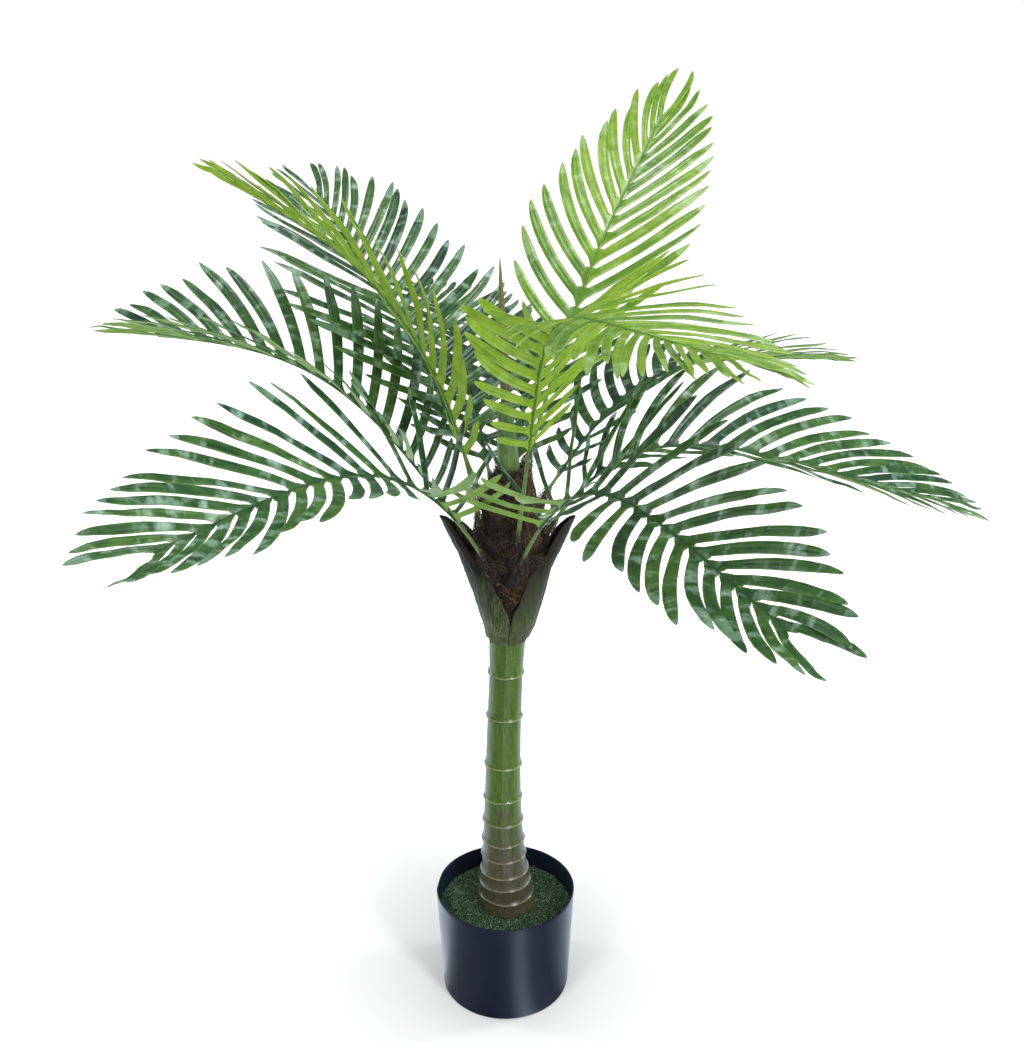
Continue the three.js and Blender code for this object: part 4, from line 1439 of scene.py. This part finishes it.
class LeafFinishes:
    """The leaf fabrics: three shades on top and a paler one on the last stretch, one beneath, and a cut edge.

    Each fabric is given by its colour, its fresher streaks, its pale painted sheen, which stands in for
    highlights, and the sheen's share.
    """

    # The fourth colour of each fabric and the share after it are the painted sheen: pale painted highlights.
    YOUNG_CLOTHS = (
        ("top", (0.08, 0.195, 0.005), (0.175, 0.32, 0.016), (0.38, 0.55, 0.24), 0.5),
        ("top bright", (0.115, 0.24, 0.008), (0.22, 0.36, 0.024), (0.38, 0.54, 0.26), 0.6),
        ("top deep", (0.06, 0.155, 0.008), (0.125, 0.26, 0.02), (0.32, 0.48, 0.26), 0.6),
        ("tip", (0.165, 0.3, 0.06), (0.27, 0.43, 0.13), (0.44, 0.59, 0.38), 0.65),
        ("under", (0.18, 0.345, 0.006), (0.32, 0.5, 0.02), (0.38, 0.54, 0.09), 0.3, (0.6, 0.42)),
        ("edge", (0.2, 0.34, 0.04), (0.28, 0.42, 0.07), (0.36, 0.5, 0.16), 0.2),
    )
    GROWN_CLOTHS = (
        ("top", (0.008, 0.045, 0.01), (0.042, 0.12, 0.028), (0.32, 0.48, 0.38), 0.9),
        ("top green", (0.014, 0.06, 0.01), (0.065, 0.155, 0.03), (0.34, 0.49, 0.36), 0.95),
        ("top deep", (0.004, 0.027, 0.01), (0.02, 0.075, 0.026), (0.3, 0.46, 0.38), 0.9),
        ("tip", (0.06, 0.15, 0.075), (0.15, 0.27, 0.17), (0.4, 0.55, 0.46), 0.8),
        ("under", (0.12, 0.24, 0.03), (0.2, 0.35, 0.055), (0.28, 0.44, 0.14), 0.4, (0.6, 0.42)),
        ("edge", (0.05, 0.13, 0.025), (0.11, 0.22, 0.05), (0.24, 0.38, 0.2), 0.4),
    )
    YOUNG_SKINS = (
        ("stalk", (0.085, 0.17, 0.025), (0.14, 0.25, 0.04)),
        ("rib", (0.065, 0.17, 0.015), (0.11, 0.24, 0.025)),
    )
    GROWN_SKINS = (
        ("stalk", (0.07, 0.14, 0.03), (0.14, 0.22, 0.055)),
        ("rib", (0.008, 0.045, 0.018), (0.03, 0.09, 0.03)),
    )
    TIP, UNDER, EDGE = 3, 4, 5

    def __init__(self) -> None:
        """Makes the fabrics of young and grown leaves, and their ribs' skins from the foot to the tip."""
        self.cloths = {}
        self.skins = {}
        foot = StalkSkin("stalk foot skin", (0.07, 0.075, 0.018), (0.12, 0.1, 0.025)).make()
        for slot, age, cloths, skins in (
            (Slot.YOUNG, "young", self.YOUNG_CLOTHS, self.YOUNG_SKINS),
            (Slot.GROWN, "grown", self.GROWN_CLOTHS, self.GROWN_SKINS),
        ):
            self.cloths[slot] = [LeafCloth(f"{age} leaf {part}", *look).make() for part, *look in cloths]
            self.skins[slot] = [foot] + [StalkSkin(f"{age} {part} skin", *look).make() for part, *look in skins]

    def marks(
        self, finish: np.ndarray, faces: np.ndarray, shape: np.ndarray, dice: np.random.Generator
    ) -> np.ndarray:
        """Deals a leaflet's shades out to its faces.

        Args:
            finish: The blank's own marks: top, beneath and edge.
            faces: The blank's faces.
            shape: The blank's vertices.
            dice: The random source.

        Returns:
            The material of each face.
        """
        shade = dice.choice(3, p=[0.5, 0.28, 0.22])
        row, _, _, across = shape[faces].mean(axis=1).T
        tip = row > shape[:, 0].max() * dice.uniform(0.64, 1.02)
        top = np.where(np.abs(across) > 0.9, self.EDGE, np.where(tip, self.TIP, shade))
        return np.where(finish == 0, top, np.where(finish == 1, self.UNDER, self.EDGE))


@dataclass
class Foliage:
    """All the fronds, each a rib with its leaflets."""

    rule: LeafletRule
    blank: LeafletBlank
    seed: int = 7
    rib_sides: int = 10
    root_radius: float = 3.3
    blade_radius: float = 2.3
    tip_radius: float = 1.0
    root_depth: float = 12
    root_swell: float = 1.25
    rib_flatness: float = 0.85
    foot_skin: float = 6

    def build(self, fronds: list[Frond]) -> None:
        """Models and dresses every frond."""
        blank = self.blank.build()
        finishes = LeafFinishes()
        for index, frond in enumerate(fronds):
            dice = np.random.default_rng(self.seed + index)
            self.build_leaflets(frond, blank, finishes, dice)
            self.build_rib(frond, finishes)

    def line(self, frond: Frond, place: float, hand: int, lift: float, curl: float) -> LeafletLine:
        """A leaflet's centre line.

        Args:
            frond: The frond that it grows on.
            place: Its place along the blade, from 0 to 1.
            hand: 1 on the right of the rib and -1 on its left.
            lift: How far it is lifted off the rule, in degrees.
            curl: How much further than the rule it curls, in degrees.

        Returns:
            The line.
        """
        rule = self.rule
        along = np.array(frond.along_from(place))
        tangent, flat, above = frond.blade_frame(along)
        rib = frond.rib_points(rule.rib_steps)
        at = float(along) * rule.rib_steps
        step = min(int(at), rule.rib_steps - 1)
        start = mix(rib[step], rib[step + 1], at - step)
        gathered = frond.gather * (1 - smooth(place / rule.gather_reach))
        away, up = rolled(flat * hand, above, math.radians(frond.fold + gathered + lift))
        first = rule.angle(frond, place)
        length = rule.length(frond, place)
        steps = rule.path_steps
        share = ((np.arange(steps) + 0.5) / steps)[:, None]
        angle = first - np.radians(frond.curl + frond.arch + curl) * share
        sag = math.sin(math.radians(frond.sag)) * share
        direction = unit(tangent * np.cos(angle) + away * np.sin(angle) - up * sag)
        points = np.vstack([np.zeros(3), np.cumsum(direction * length / steps, axis=0)]) + start
        return LeafletLine(points, direction, unit(np.cross(up[None, :], direction)), first, length)

    def build_leaflets(
        self, frond: Frond, blank: Arrays, finishes: LeafFinishes, dice: np.random.Generator
    ) -> None:
        """Grows a frond's leaflets from the blank and joins them.

        Args:
            frond: The frond's rule.
            blank: The leaflet blank's vertices, faces and marks.
            finishes: The leaf fabrics.
            dice: The random source.
        """
        shape, faces, finish = blank
        points, marks, uvs = [], [], []
        for pair in range(frond.pairs):
            for hand in (1, -1):
                grown, uv = self.leaflet(frond, shape, (pair + 0.5) / frond.pairs, hand, dice)
                points.append(grown)
                uvs.append(uv)
                marks.append(finishes.marks(finish, faces, shape, dice))
        copies = repeat_faces(faces, len(points), len(shape))
        name = f"{frond.name}_leaflets"
        obj = Bench.joined(name, np.vstack(points), copies, np.concatenate(marks), np.vstack(uvs))
        Bench.shade(obj, 20)
        Bench.hand_over(obj, frond.slot, finishes.cloths[frond.slot], frond.name)

    def leaflet(
        self, frond: Frond, shape: np.ndarray, place: float, hand: int, dice: np.random.Generator
    ) -> tuple[np.ndarray, np.ndarray]:
        """One leaflet: the blank laid along its line.

        Args:
            frond: The frond that it grows on.
            shape: The blank's vertices.
            place: Its place along the blade.
            hand: 1 on the right of the rib and -1 on its left.
            dice: The random source.

        Returns:
            Its vertices in millimetres, and their places on the fabric in metres.
        """
        rule = self.rule
        row, breadth, height, _ = shape.T
        line = self.line(frond, place, hand, dice.normal(0, rule.stray_lift), dice.normal(0, rule.stray_curl))
        half = rule.leaflet_width(frond, place) / 2 * dice.uniform(0.95, 1.05)
        wide = frond.blade / frond.pairs * math.sin(line.angle) / 2
        web = rule.web / math.sin(line.angle)
        free = [mix(web + rule.notch, line.length, station) for station, _ in self.blank.outline]
        reach = np.interp(row, range(self.blank.web_rows + len(free)), [0, web * 0.5, web, *free])
        widths = ((0, wide), (1, mix(half, wide, 0.85)), (2, mix(half, wide, 0.4)), (3, half))
        offset = breadth * read_list(widths, row)
        shear = np.clip(1 - np.maximum(reach - web, 0) / rule.shear_reach, 0, 1)
        distance = reach + hand * offset / math.tan(line.angle) * shear
        base, across, up = line.at(distance)
        run = np.clip(distance / line.length, 0, 1)
        twist = np.radians(dice.normal(0, rule.stray_twist)) * run
        twist = twist + wave(rule.flutter, dice.uniform(4, 9), run, dice.uniform(0, 6))
        across, up = rolled(across, up, twist[:, None])
        swell = run * wave(dice.uniform(0.6, 1.6), dice.uniform(9, 15), run, dice.uniform(0, 6))
        ripple = wave(rule.ripple, dice.uniform(30, 42), run, dice.uniform(0, 6)) * np.abs(breadth)
        grown = base + across * offset[:, None] + up * (height + swell + ripple * (run > 0.1))[:, None]
        uv = np.stack([distance, offset], axis=1) * MM + dice.uniform(0, 4, 2)
        return grown, uv

    def build_rib(self, frond: Frond, finishes: LeafFinishes) -> None:
        """Sweeps a frond's rib from its foot in the fibre to its tip."""
        steps = self.rule.rib_steps
        along = np.linspace(0, 1, steps + 1)
        tangent, flat, above = frond.blade_frame(along)
        points = frond.rib_points(steps)
        taper = ((0, self.root_radius), (frond.along_from(0), self.blade_radius), (1, self.tip_radius))
        radius = read_list(taper, along)
        foot = points[0] - tangent[0] * (frond.lead + self.root_depth)
        points = np.vstack([foot, points])
        flat = np.vstack([flat[:1], flat])[:, None, :]
        above = np.vstack([above[:1], above])[:, None, :]
        radius = np.concatenate([[radius[0] * self.root_swell], radius])
        turns = (FULL_TURN * np.arange(self.rib_sides) / self.rib_sides)[None, :, None]
        ring = rolled(flat, above * self.rib_flatness, turns)[0]
        rings = points[:, None, :] + ring * radius[:, None, None]
        distance = (np.arange(steps + 1) - 1) / steps * (frond.petiole + frond.blade)
        finish = np.where(distance < self.foot_skin, 0, np.where(distance < frond.petiole, 1, 2))
        faces = tube_faces(len(points), self.rib_sides)
        name = f"{frond.name}_rib"
        obj = Bench.joined(name, rings.reshape(-1, 3), faces, np.repeat(finish, self.rib_sides))
        with Bench.editing():
            bpy.ops.mesh.fill_holes(sides=0)
        Bench.shade(obj, 60)
        Bench.hand_over(obj, frond.slot, finishes.skins[frond.slot], frond.name)


def palm_fronds() -> list[Frond]:
    """Every frond of the palm, in the source's order."""
    young, grown = Slot.YOUNG, Slot.GROWN
    return [
        Frond(
            "frond_young_tall", young, (22, 18, 735), lead=6, heading=52, swing=10, rise=62, end_rise=36,
            crook_at=0.51, crook_reach=0.22, petiole=110, blade=436, pairs=16, roll=-1, end_roll=-17, fold=8,
            spread=68, curl=22, sag=14, stretch=1.08, tip_lean=11, tip_share=0.74, arch=4,
        ),
        Frond(
            "frond_young_front", young, (14, -38, 655), lead=10, heading=-64, swing=-2, rise=77, end_rise=2,
            crook_at=0.48, crook_reach=0.08, petiole=140, blade=488, pairs=29, roll=-21, end_roll=10, fold=6,
            spread=67, curl=9, sag=14, tip_lean=18, tip_share=0.55, width=13,
        ),
        Frond(
            "frond_young_left", young, (-28, -12, 665), lead=14, heading=174, swing=-3, rise=82, end_rise=27,
            crook_at=0.6, crook_reach=0.45, petiole=100, blade=396, pairs=19, roll=-29, end_roll=-22, fold=12,
            spread=66, curl=26, sag=4, stretch=0.94, tip_lean=17, tip_share=0.55, arch=4, width=17,
        ),
        Frond(
            "frond_back_left", grown, (-22, 22, 690), lead=14, heading=138, swing=-16, rise=59, end_rise=30,
            crook_at=0.38, crook_reach=0.08, petiole=90, blade=458, pairs=20, roll=-2, end_roll=6, fold=20,
            spread=82, curl=12, sag=12, stretch=1.1, tip_lean=16,
        ),
        Frond(
            "frond_left", grown, (-40, 4, 655), lead=52, heading=181, swing=-9, rise=56, end_rise=3,
            crook_at=0.6, crook_reach=0.25, petiole=70, blade=400, pairs=17, roll=12, end_roll=8, fold=34,
            spread=80, curl=16, sag=8, tip_lean=30, tip_share=0.5, arch=2, width=13.5,
        ),
        Frond(
            "frond_front_left", grown, (-18, -30, 632), lead=26, heading=219, swing=19, rise=60, end_rise=-4,
            crook_at=0.34, crook_reach=0.27, petiole=84, blade=452, pairs=18, roll=27, end_roll=11, fold=14,
            gather=50, fan=26, spread=68, curl=21, sag=-6, tip_lean=26, root_share=0.54, tip_share=0.55,
            arch=6, width=13,
        ),
        Frond(
            "frond_front_right", grown, (14, -34, 628), lead=20, heading=-52, swing=-16, rise=61, end_rise=-6,
            crook_at=0.3, crook_reach=0.21, petiole=84, blade=482, pairs=18, roll=-34, end_roll=-20, fold=20,
            gather=46, fan=32, spread=73, curl=27, sag=-8, stretch=1.02, tip_lean=22, root_share=0.76,
            tip_share=0.56, arch=0, width=13,
        ),
        Frond(
            "frond_right", grown, (44, -8, 660), lead=20, heading=-11, swing=3, rise=59, end_rise=-14,
            crook_at=0.32, crook_reach=0.2, blade=428, pairs=19, roll=-16, end_roll=-1, fold=22,
            spread=72, curl=20, stretch=0.98, tip_lean=17, width=13.5,
        ),
        Frond(
            "frond_back_right", grown, (36, 16, 690), lead=10, heading=32, swing=-3, rise=49, end_rise=-6,
            crook_at=0.43, crook_reach=0.19, petiole=50, blade=448, pairs=20, roll=18, end_roll=9, fold=11,
            spread=80, curl=16, tip_lean=15,
        ),
        Frond(
            "frond_back", grown, (9, 38, 672), lead=12, heading=82, swing=4, rise=52, end_rise=-8,
            crook_at=0.4, crook_reach=0.2, blade=470, pairs=20, roll=6, end_roll=0, fold=14,
            spread=79, curl=16, tip_lean=15,
        ),
        Frond(
            "frond_back_low", grown, (-8, 34, 664), lead=12, heading=108, swing=-4, rise=56, end_rise=4,
            crook_at=0.42, crook_reach=0.2, blade=470, pairs=20, roll=-6, end_roll=0, fold=14,
            spread=79, curl=16, tip_lean=15,
        ),
    ]


@dataclass
class Studio:
    """Plain pale floor, soft lamps and the camera.

    Each lamp has its name, its place and its size in metres, its power in watts and its colour. The
    floor's bands are shares of the way round the pot with their light, for the pot's reflections.
    """

    camera_place: Point = (0.009, -1.371, 1.183)
    camera_drop: float = 20.2
    focal_pixels: float = 1200
    picture_height: float = 1048
    sensor: float = 36
    aim_height: float = 0.7
    glow: float = 0.2
    floor_radius: float = 14
    floor_light: float = 0.4
    band_light: float = 2.0
    band_colour: Colour = (0.76, 0.87, 1.0)
    lamps: tuple = (
        ("key lamp", (-1.3, -1.9, 2.5), (0.8, 0.8), 26, (1.0, 0.98, 0.95)),
        ("right lamp", (1.3, -2.0, 1.5), (0.5, 1.3), 36, (0.98, 0.99, 1.0)),
        ("top lamp", (0.1, 0.1, 4.0), (1.8, 1.8), 76, (0.96, 0.98, 1.0)),
        ("left edge lamp", (-1.8, 0.5, 1.0), (0.4, 1.8), 12, (0.9, 0.95, 1.0)),
        ("right edge lamp", (1.8, 0.5, 1.0), (0.4, 1.8), 17, (0.9, 0.95, 1.0)),
    )
    floor_bands: Pairs = (
        (0.0, 0.6), (0.06, 0.16), (0.22, 0.05), (0.265, 0.14), (0.305, 1.0), (0.345, 0.2), (0.42, 0.08),
        (0.5, 0.4), (0.58, 0.8), (0.68, 0.7), (0.76, 0.4), (0.84, 0.8), (0.93, 1.0),
    )

    def build(self) -> None:
        """Sets the stage, the lamps and the camera."""
        self.floor()
        for lamp in self.lamps:
            self.lamp(*lamp)
        self.air()
        bpy.context.scene.view_settings.view_transform = "Standard"
        data = bpy.data.cameras.new("camera")
        data.sensor_width = self.sensor
        data.lens = self.focal_pixels / self.picture_height * self.sensor
        camera = self.hang("camera", data, self.camera_place)
        camera.rotation_euler = (math.radians(90 - self.camera_drop), 0, 0)
        bpy.context.scene.camera = camera

    def hang(self, name: str, data: bpy.types.ID, place: Point) -> Piece:
        """Puts a lamp or the camera in its place."""
        obj = bpy.data.objects.new(name, data)
        bpy.context.scene.collection.objects.link(obj)
        obj.location = place
        return obj

    def lamp(self, name: str, place: Point, size: Pair, power: float, colour: Colour) -> None:
        """Hangs a softbox that faces the palm."""
        data = bpy.data.lights.new(name, "AREA")
        data.shape = "RECTANGLE"
        data.size, data.size_y = size
        data.energy = power
        data.color = colour
        lamp = self.hang(name, data, place)
        sight = Vector((0, 0, self.aim_height)) - Vector(place)
        lamp.rotation_euler = sight.to_track_quat("-Z", "Y").to_euler()

    def air(self) -> None:
        """Lights the air: white where it is seen, and dimmer as a light, so that the lamps give the shape."""
        world = bpy.data.worlds.new("studio air")
        bpy.context.scene.world = world
        world.use_nodes = True
        nodes = world.node_tree.nodes
        seen = nodes["Background"]
        seen.inputs["Color"].default_value = (1.0, 1.0, 1.0, 1.0)
        seen.inputs["Strength"].default_value = 1.0
        glow = nodes.new("ShaderNodeBackground")
        glow.inputs["Color"].default_value = (0.88, 0.94, 1.0, 1.0)
        glow.inputs["Strength"].default_value = self.glow
        target = nodes["World Output"].inputs["Surface"]
        usual, other = glow.outputs["Background"], seen.outputs["Background"]
        choose_shader(world.node_tree, "Is Camera Ray", usual, other, target)

    def floor(self) -> None:
        """Lays the floor, which gives light of its own: less near the pot, and less where it isn't seen."""
        add_disc = bpy.ops.mesh.primitive_circle_add
        floor = Bench.start("studio_floor", add_disc, vertices=96, radius=self.floor_radius, fill_type="NGON")
        paint = Paint("studio floor")
        paint.set(Base_Color=(0.86, 0.86, 0.86), Roughness=0.9, Emission_Color=(1.0, 1.0, 1.0))
        distance = paint.node("ShaderNodeVectorMath", operation="LENGTH")
        paint.link(paint.place(), distance.inputs[0])
        ray = paint.node("ShaderNodeLightPath")
        seen = paint.span(ray.outputs["Is Camera Ray"], (0.0, 1.0), (self.floor_light, 1.0))
        away = paint.span(distance.outputs["Value"], (0.05, 0.9), (0.1, 1.0))
        paint.to("Emission Strength", paint.maths("MULTIPLY", away, seen))
        self.mirrored(paint)
        floor.data.materials.append(paint.material)

    def mirrored(self, paint: Paint) -> None:
        """Gives the floor another look where it is mirrored: light bands round the pot, dark in front."""
        round_pot = paint.node("ShaderNodeTexGradient", gradient_type="RADIAL")
        paint.link(paint.place(), round_pot.inputs["Vector"])
        ramp = paint.node("ShaderNodeValToRGB")
        paint.link(round_pot.outputs["Fac"], ramp.inputs["Fac"])
        stops = ramp.color_ramp.elements
        for index, (place, light) in enumerate(self.floor_bands):
            stop = stops[index] if index < 2 else stops.new(place)
            stop.position = place
            stop.color = (*(light * part for part in self.band_colour), 1.0)
        glow = paint.node("ShaderNodeEmission")
        glow.inputs["Strength"].default_value = self.band_light
        paint.link(ramp.outputs["Color"], glow.inputs["Color"])
        usual, other = paint.shader.outputs["BSDF"], glow.outputs["Emission"]
        choose_shader(paint.tree, "Is Glossy Ray", usual, other, paint.output.inputs["Surface"])


def main() -> None:
    """Builds the palm's pieces in order, and sets the stage."""
    logging.basicConfig(level=logging.INFO, format="%(message)s")
    log.info("frame has %d solids", len(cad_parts))
    crown = Crown()
    fronds = palm_fronds()
    Pot().build()
    Fill().build()
    Trunk().build()
    crown.build()
    FibreCore().build(crown, fronds)
    Centre().build()
    Foliage(LeafletRule(), LeafletBlank()).build(fronds)
    Studio().build()


if __name__ == "__main__":
    main()
